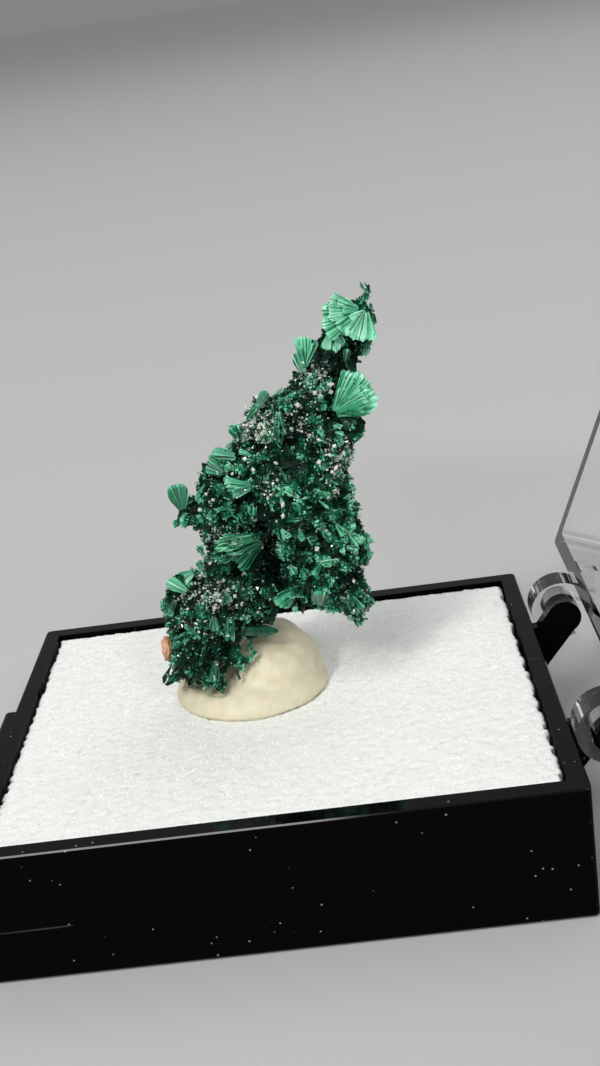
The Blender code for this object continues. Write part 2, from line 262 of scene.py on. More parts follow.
# %% Scatter points over the core
RANDOM_SEED = 11
LEAST_LENGTH = 1e-12
draw = np.random.default_rng(RANDOM_SEED)
# Without this line the vector noise takes its seed from the clock
space_noise.seed_set(RANDOM_SEED)


def read_surface(mesh):
    """Centres, normals and areas of a mesh's faces."""
    count = len(mesh.polygons)
    centres = np.empty(count * 3)
    normals = np.empty(count * 3)
    areas = np.empty(count)
    mesh.polygons.foreach_get("center", centres)
    mesh.polygons.foreach_get("normal", normals)
    mesh.polygons.foreach_get("area", areas)
    return centres.reshape(-1, 3), normals.reshape(-1, 3), areas


def scatter(surface, count, weight):
    """Random faces of the surface, more of them where the weight is high."""
    chance = surface[2] * weight
    return draw.choice(len(chance), size=count, p=chance / chance.sum())


def unit(vectors):
    """The same directions with length one."""
    return vectors / np.maximum(np.linalg.norm(vectors, axis=1, keepdims=True), LEAST_LENGTH)


def random_directions(count):
    """Evenly spread random directions."""
    return unit(draw.normal(size=(count, 3)))


core_surface = read_surface(core_mesh)
print("core area in mm2:", round(core_surface[2].sum() / MM**2))

# %% [markdown]
# ## Bright and dark country
#
# The specimen isn't even: some patches are mint green, some carry a grey sparkling crust, and the
# hollows are almost black. Each patch is a soft round spot, given by its place across and up the
# front of the specimen. The spots say how much of each growth and tone there is. The darkest hollow
# spots are pressed into the core, because a hollow looks black only when it is deep, and all of
# them also darken the colour there with painted shade, as do the crevices between the lumps.

# %% Name the patches and press in the hollows
# Each spot: across, up, half width, half height (in mm), and strength
BRIGHT_SPOTS = [
    (6.8, 28.9, 1.6, 1.0, 1.0),
    (5.7, 27.9, 0.5, 0.9, 0.8),
    (7.7, 26.6, 0.4, 0.9, 0.9),
    (4.1, 27.6, 0.5, 0.8, 0.5),
    (-1.0, 22.4, 1.0, 0.5, 0.6),
    (2.6, 20.0, 1.6, 0.9, 0.6),
    (5.2, 18.2, 1.7, 1.2, 0.7),
    (2.5, 17.2, 1.1, 0.9, 0.7),
    (5.8, 16.2, 1.0, 1.0, 0.8),
    (-4.2, 15.5, 1.0, 0.7, 0.6),
    (2.5, 14.8, 0.9, 0.5, 0.6),
    (2.0, 13.1, 1.1, 0.5, 0.4),
    (-5.2, 11.8, 0.5, 1.0, 0.5),
    (8.2, 30.4, 0.5, 0.7, 0.5),
]
CRUST_SPOTS = [
    (1.3, 24.0, 1.9, 1.1, 1.0),
    (3.7, 24.0, 1.2, 1.4, 0.7),
    (4.8, 25.9, 1.3, 1.3, 0.9),
    (5.6, 21.4, 1.0, 1.6, 1.0),
    (-0.9, 21.5, 1.0, 0.7, 0.5),
    (-1.6, 18.2, 1.4, 1.0, 0.8),
    (-2.4, 15.0, 1.5, 1.2, 1.0),
    (1.6, 20.7, 0.8, 0.7, 0.8),
    (7.7, 30.2, 0.8, 0.9, 0.6),
    (5.4, 12.9, 1.3, 0.9, 0.5),
    (-4.4, 13.5, 1.2, 0.8, 0.5),
]
# Hollows: the strongest are pressed into the core, and all darken its colour with painted shade
SHADED_HOLLOW_SPOTS = [
    (0.6, 15.8, 1.3, 2.0, 1.0),
    (0.9, 18.4, 0.7, 1.0, 0.9),
    (5.0, 14.8, 1.0, 0.5, 1.0),
    (3.6, 13.7, 0.5, 0.5, 0.6),
    (6.5, 26.9, 1.1, 0.5, 1.0),
    (4.1, 17.5, 0.5, 0.5, 1.0),
    (3.0, 24.0, 0.4, 0.5, 0.9),
    (-1.0, 20.7, 1.0, 0.3, 0.6),
    (-3.3, 10.9, 1.4, 1.8, 0.5),
    (-4.5, 9.3, 1.6, 1.0, 0.6),
    (7.4, 29.9, 0.25, 0.4, 0.8),
]
# Where a large fan lies bare, nothing else grows
BARE_SPOTS = [
    (6.6, 29.0, 1.3, 0.9, 1.0),
    (7.4, 28.3, 0.9, 0.9, 1.0),
    (5.8, 27.9, 0.5, 0.6, 0.8),
    (6.7, 24.8, 1.1, 1.1, 1.0),
    (7.3, 24.3, 1.0, 0.8, 1.0),
    (6.8, 23.3, 0.7, 0.5, 0.9),
    (4.3, 27.4, 0.4, 0.9, 0.7),
    (-0.4, 20.4, 0.7, 0.5, 1.0),
    (-1.8, 16.9, 0.8, 0.4, 1.0),
    (-0.4, 16.4, 0.7, 0.7, 1.0),
    (1.6, 13.4, 1.0, 0.6, 1.0),
    (-4.1, 15.6, 0.8, 0.5, 0.6),
    (2.6, 20.0, 0.6, 0.5, 0.7),
    (4.5, 19.3, 0.7, 0.5, 0.7),
]
HOLLOW_DEPTH = 0.75 * MM
LUMP_SIZE = 1.15 * MM
FUZZ_SIZE = 0.85 * MM
LUMP_WARP = 0.35
WARP_DETAIL = 1.6
LUMP_STEEPNESS = 2.0
LUMP_ROUNDING = 0.75
FUZZ_ROUGHNESS = 0.8
FUZZ_STEP = 2.1
FUZZ_OCTAVES = 3
FUZZ_CONTRAST = 2.2
CREVICE_DEPTH = 0.75 * MM
BARE_DEPTH = 0.45 * MM
THIN_SHARE = 0.25
START_INSIDE = 0.01 * MM
HOLLOW_GAIN = 1.8
HOLLOW_LOSS = 0.8
FRONT_GAIN = 2.5
BARE_GAIN = 1.5
COVER_GAIN = 1.6
FACING_BACK = 0.3
BRIGHT_TO_FUZZ = 0.6
CRUST_TO_FUZZ = 0.45
HOLLOW_SHADE_TO_FUZZ = 0.6
CORE_TONE = 0.06
CORE_TONE_GAIN = 0.34


def spot_field(points, spots):
    """How strongly any of the spots covers each point, from 0 to 1."""
    field = np.zeros(len(points))
    for across, up, half_width, half_height, strength in spots:
        away = ((points[:, 0] / MM - across) / half_width) ** 2
        away += ((points[:, 2] / MM - up) / half_height) ** 2
        field = np.maximum(field, strength * np.exp(-away))
    return field


def lump_height(places):
    """0 in the crevices between rounded lumps, and 1 on top of a lump."""
    heights = np.empty(len(places))
    for i, place in enumerate(places / LUMP_SIZE):
        bent = Vector(place) + space_noise.noise_vector(place * WARP_DETAIL) * LUMP_WARP
        nearest = space_noise.voronoi(bent)[0]
        heights[i] = nearest[1] - nearest[0]
    return np.clip(heights * LUMP_STEEPNESS, 0.0, 1.0) ** LUMP_ROUNDING


def fuzz_cover(places):
    """Small patches of green fuzz: 1 inside, 0 outside, with soft and irregular borders."""
    values = [
        space_noise.fractal(Vector(place), FUZZ_ROUGHNESS, FUZZ_STEP, FUZZ_OCTAVES)
        for place in places / FUZZ_SIZE
    ]
    return np.clip(0.5 + FUZZ_CONTRAST * np.array(values), 0.0, 1.0)


def stone_behind(tree, places, normals):
    """How far the other side of the stone lies behind each point."""
    found = np.zeros(len(places))
    for i, (place, inward) in enumerate(zip(places, -normals)):
        distance = tree.ray_cast(Vector(place + inward * START_INSIDE), Vector(inward))[3]
        found[i] = distance or 0.0
    return found


def carve(mesh, tree):
    """Cut crevices between lumps, and move the front back in the hollows and under bare fans."""
    count = len(mesh.vertices)
    places = np.empty(count * 3)
    normals = np.empty(count * 3)
    mesh.vertices.foreach_get("co", places)
    mesh.vertex_normals.foreach_get("vector", normals)
    places, normals = places.reshape(-1, 3), normals.reshape(-1, 3)
    deep = np.clip(HOLLOW_GAIN * spot_field(places, SHADED_HOLLOW_SPOTS) - HOLLOW_LOSS, 0.0, 1.0)
    faces_front = np.clip(-FRONT_GAIN * normals[:, 1], 0.0, 1.0)
    most = THIN_SHARE * stone_behind(tree, places, normals)
    crevice = np.minimum(CREVICE_DEPTH * (1.0 - lump_height(places)), most)
    bare = np.clip(BARE_GAIN * spot_field(places, BARE_SPOTS), 0.0, 1.0)
    places[:, 1] += np.minimum(HOLLOW_DEPTH * deep + BARE_DEPTH * bare, most) * faces_front
    places -= normals * crevice[:, None]
    mesh.vertices.foreach_set("co", places.ravel())
    mesh.update()


core_tree = BVHTree.FromPolygons(
    [v.co for v in core_mesh.vertices], [tuple(p.vertices) for p in core_mesh.polygons]
)
carve(core_mesh, core_tree)
core_surface = read_surface(core_mesh)
core_places, core_normals, _ = core_surface
lump = lump_height(core_places)
bright = spot_field(core_places, BRIGHT_SPOTS)
crust = spot_field(core_places, CRUST_SPOTS)
# Painted shade: the hollows darken the tone of the core, the blades and the crust
hollow_shade = spot_field(core_places, SHADED_HOLLOW_SPOTS)
in_front = core_normals[:, 1] < FACING_BACK
covered = 1.0 - np.clip(COVER_GAIN * spot_field(core_places, BARE_SPOTS), 0.0, 1.0) * in_front
fuzz = fuzz_cover(core_places) + BRIGHT_TO_FUZZ * bright - CRUST_TO_FUZZ * crust - HOLLOW_SHADE_TO_FUZZ * hollow_shade
fuzz = np.clip(fuzz, 0.0, 1.0)
# Painted light and shade: the core is lighter on lump tops and darker in the crevices between them
layer = core_mesh.attributes.new("tone", "FLOAT", "FACE")
layer.data.foreach_set("value", (CORE_TONE + CORE_TONE_GAIN * fuzz * lump).astype(np.float32))
print("share of bright, crust, dark:", [round(float(f.mean()), 2) for f in (bright, crust, hollow_shade)])

# %% [markdown]
# ## Many small shapes as one mesh
#
# A hundred thousand separate objects would stop Blender. Instead every kind of growth is one
# mesh: the same few faces repeated, with the corners of each copy worked out by numpy. Two facts
# travel with every corner as attributes, so that the material can colour it: how far it is from
# the root, and the tone of the whole shape.

# %% Join shapes and build blades
BELLY_AT = 0.85
BLADE_PLACES = np.array([0.0, 0.8, 0.8, 0.85, 1.0])
BLADE_FLATNESS = (0.4, 1.0)
BLADE_TRIANGLES = np.array([(0, 1, 2), (0, 2, 3), (0, 3, 1), (4, 2, 1), (4, 3, 2), (4, 1, 3)])
TONE_BASE = 0.16
TONE_OPEN = 0.26
TONE_FUZZ = 0.45
TONE_BRIGHT = 0.20
TONE_HOLLOW_SHADE = 0.25
TONE_SCATTER = 0.14
TONE_LEAST = 0.03
CREVICE_SHADE_SHARE = 0.2


def joined_mesh(name, corners, triangles, attributes):
    """Copies of one closed shape as one mesh, with values a corner that the material reads."""
    count, per_shape = corners.shape[:2]
    faces = (triangles[None] + np.arange(count)[:, None, None] * per_shape).reshape(-1, 3)
    mesh = bpy.data.meshes.new(name)
    mesh.vertices.add(count * per_shape)
    mesh.vertices.foreach_set("co", corners.astype(np.float32).ravel())
    mesh.loops.add(faces.size)
    mesh.loops.foreach_set("vertex_index", faces.astype(np.int32).ravel())
    mesh.polygons.add(len(faces))
    mesh.polygons.foreach_set("loop_start", np.arange(0, faces.size, 3, dtype=np.int32))
    mesh.update(calc_edges=True)
    mesh.shade_flat()
    for key, values in attributes.items():
        layer = mesh.attributes.new(key, "FLOAT", "POINT")
        layer.data.foreach_set("value", values.astype(np.float32).ravel())
    return mesh


def blades(roots, tips, widths, tones):
    """Thin spindles: a root, three corners round the belly, and a tip."""
    along = unit(tips - roots)
    sides = unit(np.cross(along, random_directions(len(roots))))
    fronts = np.cross(along, sides)
    belly = roots + (tips - roots) * BELLY_AT
    wide = sides * widths[:, None] / 2
    thick = fronts * (widths * draw.uniform(*BLADE_FLATNESS, size=len(roots)))[:, None] / 2
    corners = np.stack([roots, belly - wide - thick, belly + wide - thick, belly + thick, tips], axis=1)
    return corners, {
        "tip": np.tile(BLADE_PLACES, (len(roots), 1)),
        "tone": np.repeat(tones[:, None], len(BLADE_PLACES), axis=1),
    }


def green_tone(chosen):
    """Mint on the fuzzy patches and the lump tops, emerald beside them, and nearly black elsewhere, where
    painted shade darkens the crevices between lumps and the hollows.
    """
    # Painted shade: crevices between lumps keep only a share of the tone, and hollows lose some
    crevice_shade = CREVICE_SHADE_SHARE + (1.0 - CREVICE_SHADE_SHARE) * lump[chosen]
    tone = TONE_BASE + (TONE_FUZZ * fuzz[chosen] + TONE_BRIGHT * bright[chosen] + TONE_OPEN) * crevice_shade
    tone = tone + draw.normal(scale=TONE_SCATTER, size=len(chosen)) - TONE_HOLLOW_SHADE * hollow_shade[chosen]
    return np.clip(tone, TONE_LEAST, 1.0)


print("faces a blade:", len(BLADE_TRIANGLES))

# %% [markdown]
# ## Tufts and sheaves
#
# Malachite fibres grow in bundles. In a tuft they spread from one root like the bristles of a
# brush, and in a sheaf they lie side by side. The same function makes both: it draws a bundle of
# straight blades from a root, with a spread in angle and a spread of the roots.

# %% Grow the bundles
NEEDLE_WIDTH = (0.030, 0.055)
SHEAF_WIDTH = (0.045, 0.08)
NEEDLE_LENGTH = (0.22, 0.48)
SHEAF_LENGTH = (0.26, 0.58)
SIDEWAYS_PULL = 1.7
BUNDLE_SINK = 0.08 * MM
REACH_SHARES = (0.6, 1.0)
BLADE_TONE_SCATTER = 0.09
LEAST_GROWTH = 0.03
BARE_FUZZ = 0.12


def bundles(name, count, each, lengths, widths, spread, root_spread, lift, weight):
    """Bundles of blades over the core as one mesh."""
    chosen = scatter(core_surface, count, weight)
    roots, normals = core_places[chosen], core_normals[chosen]
    along = unit(normals * lift + random_directions(count) * (1.0 - lift) * SIDEWAYS_PULL)
    size = draw.uniform(*lengths, size=count) * MM
    tones = green_tone(chosen)
    total = count * each
    many = np.repeat(np.arange(count), each)
    heading = unit(along[many] + draw.normal(scale=spread, size=(total, 3)))
    starts = roots[many] - normals[many] * BUNDLE_SINK
    starts = starts + random_directions(total) * (draw.random(total) * root_spread * size[many])[:, None]
    reach = size[many] * draw.uniform(*REACH_SHARES, size=total)
    corners, attributes = blades(
        starts, starts + heading * reach[:, None],
        draw.uniform(*widths, size=total) * MM,
        tones[many] + draw.normal(scale=BLADE_TONE_SCATTER, size=total),
    )
    return joined_mesh(name, corners, BLADE_TRIANGLES, attributes)


open_ground = (BARE_FUZZ + fuzz) * (LEAST_GROWTH + lump**2) * (LEAST_GROWTH + covered)
needle_mesh = bundles(
    "needles", count=2000, each=6, lengths=NEEDLE_LENGTH, widths=NEEDLE_WIDTH,
    spread=0.30, root_spread=0.05, lift=0.55, weight=open_ground,
)
sheaf_mesh = bundles(
    "sheaves", count=1700, each=7, lengths=SHEAF_LENGTH, widths=SHEAF_WIDTH,
    spread=0.07, root_spread=0.14, lift=0.40, weight=open_ground,
)
print("bundle faces:", len(needle_mesh.polygons), len(sheaf_mesh.polygons))

# %% [markdown]
# ## Solid fans
#
# Where fibres grow tightly together they fuse into a solid fan: thin at the root, thick at the
# scalloped rim, with fine ribs on its face. Each fan is a plate drawn on a polar net, columns
# across and rings outwards. Its ribs are small random heights, one a column, and a few broad
# steps make it look like several leaves that overlap; a band of painted shade darkens each leaf
# just below the step of its neighbour. A third attribute, the place along the arc, lets the
# material draw streaks of painted silky sheen that are finer than any face.

# %% Build ribbed fans
RING_PLACES = np.array([0.06, 0.40, 0.72, 0.93, 1.0])
RING_FULLNESS = np.array([0.30, 0.60, 0.85, 1.0, 0.45])
FAN_ROOT_WIDTH = 0.10
FAN_REACH = 0.93
SCALLOP_DEPTH = 0.07
BOW_SCATTER = 0.12
CUP_SCATTER = 0.10
SIDE_THINNING = 0.6
LEAF_STEP = 0.10
LEAF_EDGE = 0.12
LEAF_SHADE = 0.25
STREAK_SCATTER = 0.08
ARC_START = 90.0


def plate_triangles(columns, rings):
    """Triangles of a closed plate: front net, back net, and the strip round them."""
    front = np.arange(columns * rings).reshape(columns, rings)
    back = front + columns * rings
    faces = []
    for net, turned in ((front, False), (back, True)):
        a, b, c, d = net[:-1, :-1], net[1:, :-1], net[1:, 1:], net[:-1, 1:]
        quads = np.stack([a, b, c, d] if not turned else [d, c, b, a], axis=-1).reshape(-1, 4)
        faces.append(quads)
    loop = np.concatenate([front[:, 0], front[-1, 1:], front[-2::-1, -1], front[0, -2:0:-1]])
    behind = loop + columns * rings
    faces.append(np.stack([np.roll(loop, -1), loop, behind, np.roll(behind, -1)], axis=-1))
    quads = np.concatenate(faces)
    return np.concatenate([quads[:, [0, 1, 2]], quads[:, [0, 2, 3]]])


def fan_mesh(
    name, place, shape, tones, columns, ribs=0.035, ragged=0.05, leaves=2.5, roundness=0.12, thickness=0.20,
):
    """Ribbed fans that all have the same net, as one mesh."""
    roots, along, across = place
    lengths, openings = shape
    count = len(roots)
    normal = np.cross(along, across)
    turn = np.linspace(-1.0, 1.0, columns)[None].repeat(count, axis=0)
    phase = draw.random((count, 1))
    leaf = (turn * leaves / 2 + phase * 3.0) % 1.0
    rounding = roundness * turn**4
    scallop = SCALLOP_DEPTH * np.abs(np.sin(np.pi * leaf)) - rounding
    reach = FAN_REACH + scallop - ragged * draw.random((count, columns))
    spread = turn * openings[:, None]
    radius = lengths[:, None, None] * reach[..., None] * RING_PLACES
    ahead = radius * np.cos(spread)[..., None]
    root_width = np.minimum(FAN_ROOT_WIDTH, 0.5 * openings) * lengths
    aside = radius * np.sin(spread)[..., None] + (turn * root_width[:, None])[..., None]
    bow = draw.normal(scale=BOW_SCATTER, size=(count, 1, 1)) * RING_PLACES**2
    cup = draw.normal(scale=CUP_SCATTER, size=(count, 1, 1)) * (turn**2)[..., None] * RING_PLACES
    half = thickness / 2 * (1.0 - SIDE_THINNING * turn**4)[..., None] * RING_FULLNESS
    rib = draw.normal(scale=ribs, size=(count, columns, 1)) + LEAF_STEP * (leaf[..., None] - 0.5)
    face = (bow + cup + half + rib * RING_PLACES) * lengths[:, None, None]
    rear = (bow + cup - half) * lengths[:, None, None]
    flat = (
        roots[:, None, None]
        + ahead[..., None] * along[:, None, None]
        + aside[..., None] * across[:, None, None]
    )
    corners = np.stack([flat + h[..., None] * normal[:, None, None] for h in (face, rear)], axis=1)
    streak = tones[:, None] + draw.normal(scale=STREAK_SCATTER, size=(count, columns))
    # Painted shade: each leaf is darker just below the step of its neighbour
    streak = streak - LEAF_SHADE * (leaf < LEAF_EDGE)
    tone = np.broadcast_to(streak[:, None, :, None], corners.shape[:-1])
    tip = np.broadcast_to(RING_PLACES, corners.shape[:-1])
    arc = (spread * lengths[:, None]) / MM + draw.uniform(0.0, ARC_START, size=(count, 1))
    arc = np.broadcast_to(arc[:, None, :, None], corners.shape[:-1])
    triangles = plate_triangles(columns, len(RING_PLACES))
    return joined_mesh(name, corners.reshape(count, -1, 3), triangles, {"tip": tip, "tone": tone, "arc": arc})


SMALL_FAN_COLUMNS = 9
SMALL_FANS = 420
SMALL_FAN_LENGTH = (0.25, 0.6)
SMALL_FAN_OPENING = (5, 24)
SMALL_FAN_SINK = 0.15 * MM
leaves = scatter(core_surface, SMALL_FANS, open_ground)
leaf_roots, leaf_normals = core_places[leaves], core_normals[leaves]
leaf_along = unit(leaf_normals * 0.5 + random_directions(SMALL_FANS) * 0.8)
leaf_across = unit(np.cross(leaf_along, random_directions(SMALL_FANS)))
leaf_lengths = draw.uniform(*SMALL_FAN_LENGTH, size=SMALL_FANS) * MM
leaf_openings = np.radians(draw.uniform(*SMALL_FAN_OPENING, size=SMALL_FANS))
small_fan_mesh = fan_mesh(
    "small fans", (leaf_roots - leaf_normals * SMALL_FAN_SINK, leaf_along, leaf_across),
    (leaf_lengths, leaf_openings), green_tone(leaves), SMALL_FAN_COLUMNS,
)
print("small fan faces:", len(small_fan_mesh.polygons))

# %% [markdown]
# ## The fans that everyone notices
#
# Some ninety fans and blades are large enough to be known by their place. Each one is given as
# its root and its tip, in pixels across and down the 600 by 1066 picture, half its opening angle,
# how far it leans towards the viewer, and its tone. Sight lines from the camera find the core
# behind the root and at three places on the way to the tip, so that the fan lies on the lump and
# clears its bumps. Only a few fans open broadly; the rest are slimmed by the same three shares.

# %% Place the large fans
# Each fan: root and tip (pixels across and down), half opening (degrees), lean, tone
BROAD_FANS = [
    ((359, 310), (326, 306), 24, 0.15, 0.95), ((357, 313), (320, 321), 24, 0.25, 0.92),
    ((352, 318), (323, 333), 16, 0.35, 0.80), ((366, 311), (358, 342), 34, 0.30, 0.98),
    ((360, 314), (340, 333), 12, 0.25, 0.62), ((334, 326), (330, 352), 20, 0.35, 0.92),
    ((305, 368), (302, 336), 12, 0.15, 0.80), ((335, 413), (361, 376), 20, 0.15, 0.77),
    ((335, 413), (375, 394), 17, 0.20, 0.84), ((336, 413), (371, 407), 8, 0.15, 0.69),
    ((260, 536), (208, 548), 5, 0.30, 0.86), ((258, 541), (216, 555), 4, 0.30, 0.66),
    ((262, 540), (238, 566), 10, 0.30, 0.52), ((256, 538), (230, 545), 6, 0.35, 0.78),
    ((252, 487), (222, 489), 21, 0.35, 0.68),
]
SLIM_FANS = [
    ((372, 338), (362, 362), 10, 0.20, 0.85), ((373, 300), (376, 330), 9, 0.10, 0.45),
    ((340, 415), (366, 419), 14, 0.05, 0.36), ((341, 416), (358, 431), 20, 0.05, 0.28),
    ((336, 424), (344, 429), 30, 0.35, 0.70), ((335, 432), (346, 437), 26, 0.35, 0.62),
    ((334, 438), (346, 444), 26, 0.35, 0.58), ((275, 402), (298, 394), 9, 0.15, 0.78),
    ((246, 420), (262, 402), 12, 0.25, 0.66), ((277, 444), (276, 416), 8, 0.40, 0.72),
    ((281, 446), (286, 424), 7, 0.40, 0.55), ((240, 440), (231, 424), 30, 0.25, 0.55),
    ((222, 463), (209, 450), 30, 0.30, 0.62), ((236, 459), (214, 452), 18, 0.40, 0.80),
    ((252, 456), (235, 449), 14, 0.45, 0.98), ((236, 470), (222, 463), 26, 0.45, 0.70),
    ((234, 502), (213, 481), 13, 0.35, 0.40), ((205, 484), (193, 502), 9, 0.40, 0.95),
    ((232, 506), (211, 512), 8, 0.50, 0.75), ((234, 514), (220, 520), 7, 0.50, 0.80),
    ((254, 528), (255, 503), 7, 0.45, 0.62), ((262, 532), (245, 540), 12, 0.40, 0.34),
    ((200, 556), (193, 544), 20, 0.30, 0.85), ((205, 570), (196, 560), 28, 0.30, 0.35),
    ((186, 570), (172, 588), 20, 0.20, 0.45), ((271, 470), (266, 482), 5, 0.55, 0.90),
    ((279, 467), (288, 483), 7, 0.50, 0.60), ((300, 498), (281, 486), 14, 0.55, 0.97),
    ((284, 487), (275, 499), 9, 0.55, 0.92), ((313, 489), (336, 502), 7, 0.50, 0.95),
    ((318, 500), (331, 510), 9, 0.50, 0.88), ((286, 521), (304, 518), 5, 0.55, 0.80),
    ((343, 499), (358, 492), 9, 0.40, 0.75), ((281, 529), (290, 541), 24, 0.50, 0.92),
    ((300, 529), (303, 543), 18, 0.50, 0.88), ((336, 524), (347, 538), 22, 0.45, 0.80),
    ((348, 532), (363, 548), 26, 0.45, 0.90), ((346, 547), (362, 553), 22, 0.45, 0.72),
    ((368, 546), (371, 561), 13, 0.25, 0.95), ((322, 530), (333, 543), 18, 0.45, 0.66),
    ((340, 560), (319, 565), 14, 0.60, 0.72), ((322, 562), (312, 578), 16, 0.60, 0.70),
    ((290, 566), (296, 577), 34, 0.50, 0.66), ((302, 568), (308, 580), 32, 0.50, 0.62),
    ((300, 587), (271, 609), 22, 0.40, 0.62), ((302, 586), (290, 596), 24, 0.50, 0.32),
    ((358, 590), (377, 606), 10, 0.10, 0.62), ((352, 596), (366, 612), 12, 0.20, 0.50),
    ((298, 606), (292, 613), 30, 0.30, 0.80), ((228, 618), (227, 644), 7, 0.45, 0.70),
    ((233, 618), (233, 646), 6, 0.45, 0.74), ((250, 645), (249, 661), 10, 0.35, 0.80),
    ((216, 660), (214, 684), 18, 0.30, 0.40), ((176, 600), (166, 618), 24, 0.20, 0.40),
    ((196, 604), (206, 618), 26, 0.40, 0.36), ((222, 590), (230, 606), 24, 0.40, 0.30),
    ((186, 632), (172, 640), 7, 0.35, 0.60), ((184, 642), (170, 650), 7, 0.35, 0.66),
    ((182, 652), (172, 660), 8, 0.30, 0.55), ((172, 664), (162, 686), 4, 0.10, 0.20),
    ((180, 668), (170, 682), 5, 0.20, 0.30), ((196, 672), (195, 689), 3, 0.20, 0.24),
    ((206, 625), (203, 648), 6, 0.40, 0.30), ((204, 646), (200, 668), 6, 0.35, 0.24),
    ((244, 622), (243, 640), 9, 0.40, 0.20), ((214, 676), (220, 690), 6, 0.30, 0.55),
    ((226, 674), (226, 690), 6, 0.30, 0.42), ((236, 668), (240, 682), 5, 0.30, 0.30),
    ((340, 596), (352, 606), 10, 0.30, 0.52), ((357, 610), (358, 626), 7, 0.20, 0.50),
    ((364, 606), (365, 618), 6, 0.20, 0.36), ((312, 590), (314, 606), 12, 0.30, 0.24),
    ((328, 592), (326, 608), 10, 0.30, 0.34),
]
# Petals are smooth and rounded, with the same numbers
PETALS = [
    ((183, 511), (176, 486), 26, 0.05, 0.40), ((180, 526), (171, 521), 30, 0.05, 0.50),
    ((303, 374), (298, 352), 20, 0.25, 0.52), ((194, 566), (179, 575), 28, 0.30, 0.66),
    ((188, 592), (168, 581), 16, 0.40, 0.66), ((256, 410), (266, 391), 12, 0.15, 0.42),
    ((224, 474), (206, 466), 24, 0.20, 0.40), ((284, 430), (279, 414), 9, 0.30, 0.45),
    ((236, 456), (213, 452), 13, 0.45, 0.62), ((214, 616), (214, 630), 22, 0.40, 0.45),
    ((320, 606), (321, 590), 24, 0.35, 0.36), ((345, 362), (347, 352), 20, 0.30, 0.36),
]
SLIM_OPENING = 0.6
SLIM_LENGTH = 0.8
SLIM_TONE = 0.88
LEAST_OPENING = 3.0
SAMPLE_SHARES = (0.35, 0.70, 1.0)
LEAST_SLOPE = -0.5
MOST_SLOPE = 1.2
LEAN_TO_SLOPE = 0.6
CHILD_SIDEWAYS = 0.9
CHILD_OUTWARD = 0.16
CHILD_LIFT = 0.05
CHILD_TILT = 0.25
CHILD_SHORTER = (0.02, 0.45)
CHILD_NARROWER = (0.2, 0.6)
CHILD_TONE = 0.12
DARKEST_CHILD = 0.05
LARGE_FAN_COLUMNS = 22
PETAL_COLUMNS = 20
CHILDREN = 3
FAN_LIFT = 0.03 * MM
FRONT_PLANE_Y = 0.8 * MM


def on_front_plane(place):
    """Where the sight line through a place in the picture meets the plane of the stone's middle."""
    right = (place[0] - PICTURE_WIDTH / 2) / FOCAL_PIXELS
    up = (PICTURE_HEIGHT / 2 - place[1]) / FOCAL_PIXELS
    sight = facing @ Vector((right, 1.0, up))
    return CAMERA_PLACE + sight * ((FRONT_PLANE_Y - CAMERA_PLACE.y) / sight.y)


def between(start, end, share):
    """A place in the picture on the way from one to another."""
    return tuple(a + (b - a) * share for a, b in zip(start, end))


def on_core(tree, place):
    """The point of the core seen at a place in the picture, or the nearest one, and which."""
    aim = on_front_plane(place)
    hit = tree.ray_cast(CAMERA_PLACE, (aim - CAMERA_PLACE).normalized())[0]
    return (hit, True) if hit is not None else (tree.find_nearest(aim)[0], False)


def named_fans(tree, rows):
    """Roots, directions along and across, lengths, openings and tones of the named fans."""
    found = []
    for root_at, tip_at, opening, lean, tone in rows:
        root = on_core(tree, root_at)[0]
        to_camera = (CAMERA_PLACE - root).normalized()
        flat = on_front_plane(tip_at) - on_front_plane(root_at)
        in_view = flat - to_camera * flat.dot(to_camera)
        slopes = [LEAST_SLOPE]
        for share in SAMPLE_SHARES:
            seen, lies = on_core(tree, between(root_at, tip_at, share))
            if lies:
                slopes.append((seen - root).dot(to_camera) / (flat.length * share))
        steep = min(max(slopes), MOST_SLOPE) + lean * LEAN_TO_SLOPE
        along = (in_view.normalized() + to_camera * steep).normalized()
        across = along.cross(to_camera).normalized()
        length = flat.length * math.sqrt(1 + steep**2)
        found.append((root + to_camera * FAN_LIFT, along, -across, length, math.radians(opening), tone))
    return [np.array([tuple(row[i]) if i < 3 else row[i] for row in found]) for i in range(6)]


def slimmed(rows):
    """The same fans, narrower, shorter and darker, as the crust between them leaves them."""
    made = []
    for root, tip, opening, lean, tone in rows:
        narrow = max(LEAST_OPENING, opening * SLIM_OPENING)
        made.append((root, between(root, tip, SLIM_LENGTH), narrow, lean, tone * SLIM_TONE))
    return made


def with_children(roots, along, across, lengths, openings, tones):
    """Each fan, and smaller ones from the same root that stray a little from its plane."""
    many = np.repeat(np.arange(len(roots)), CHILDREN + 1)
    child = (np.arange(len(many)) % (CHILDREN + 1) > 0) * 1.0
    total = len(many)
    normal = np.cross(along, across)[many]
    sideways = child * draw.normal(scale=CHILD_SIDEWAYS, size=total) * openings[many]
    outward = child * draw.normal(scale=CHILD_OUTWARD, size=total) + child * CHILD_LIFT
    heading = unit(along[many] + sideways[:, None] * across[many] + outward[:, None] * normal)
    tilted = unit(across[many] + (child * draw.normal(scale=CHILD_TILT, size=total))[:, None] * normal)
    beside = unit(tilted - heading * (tilted * heading).sum(1, keepdims=True))
    size = lengths[many] * (1.0 - child * draw.uniform(*CHILD_SHORTER, size=total))
    opening = openings[many] * (1.0 - child * draw.uniform(*CHILD_NARROWER, size=total))
    tone = np.clip(tones[many] + child * draw.normal(scale=CHILD_TONE, size=total), DARKEST_CHILD, 1.0)
    return (roots[many], heading, beside), (size, opening), tone


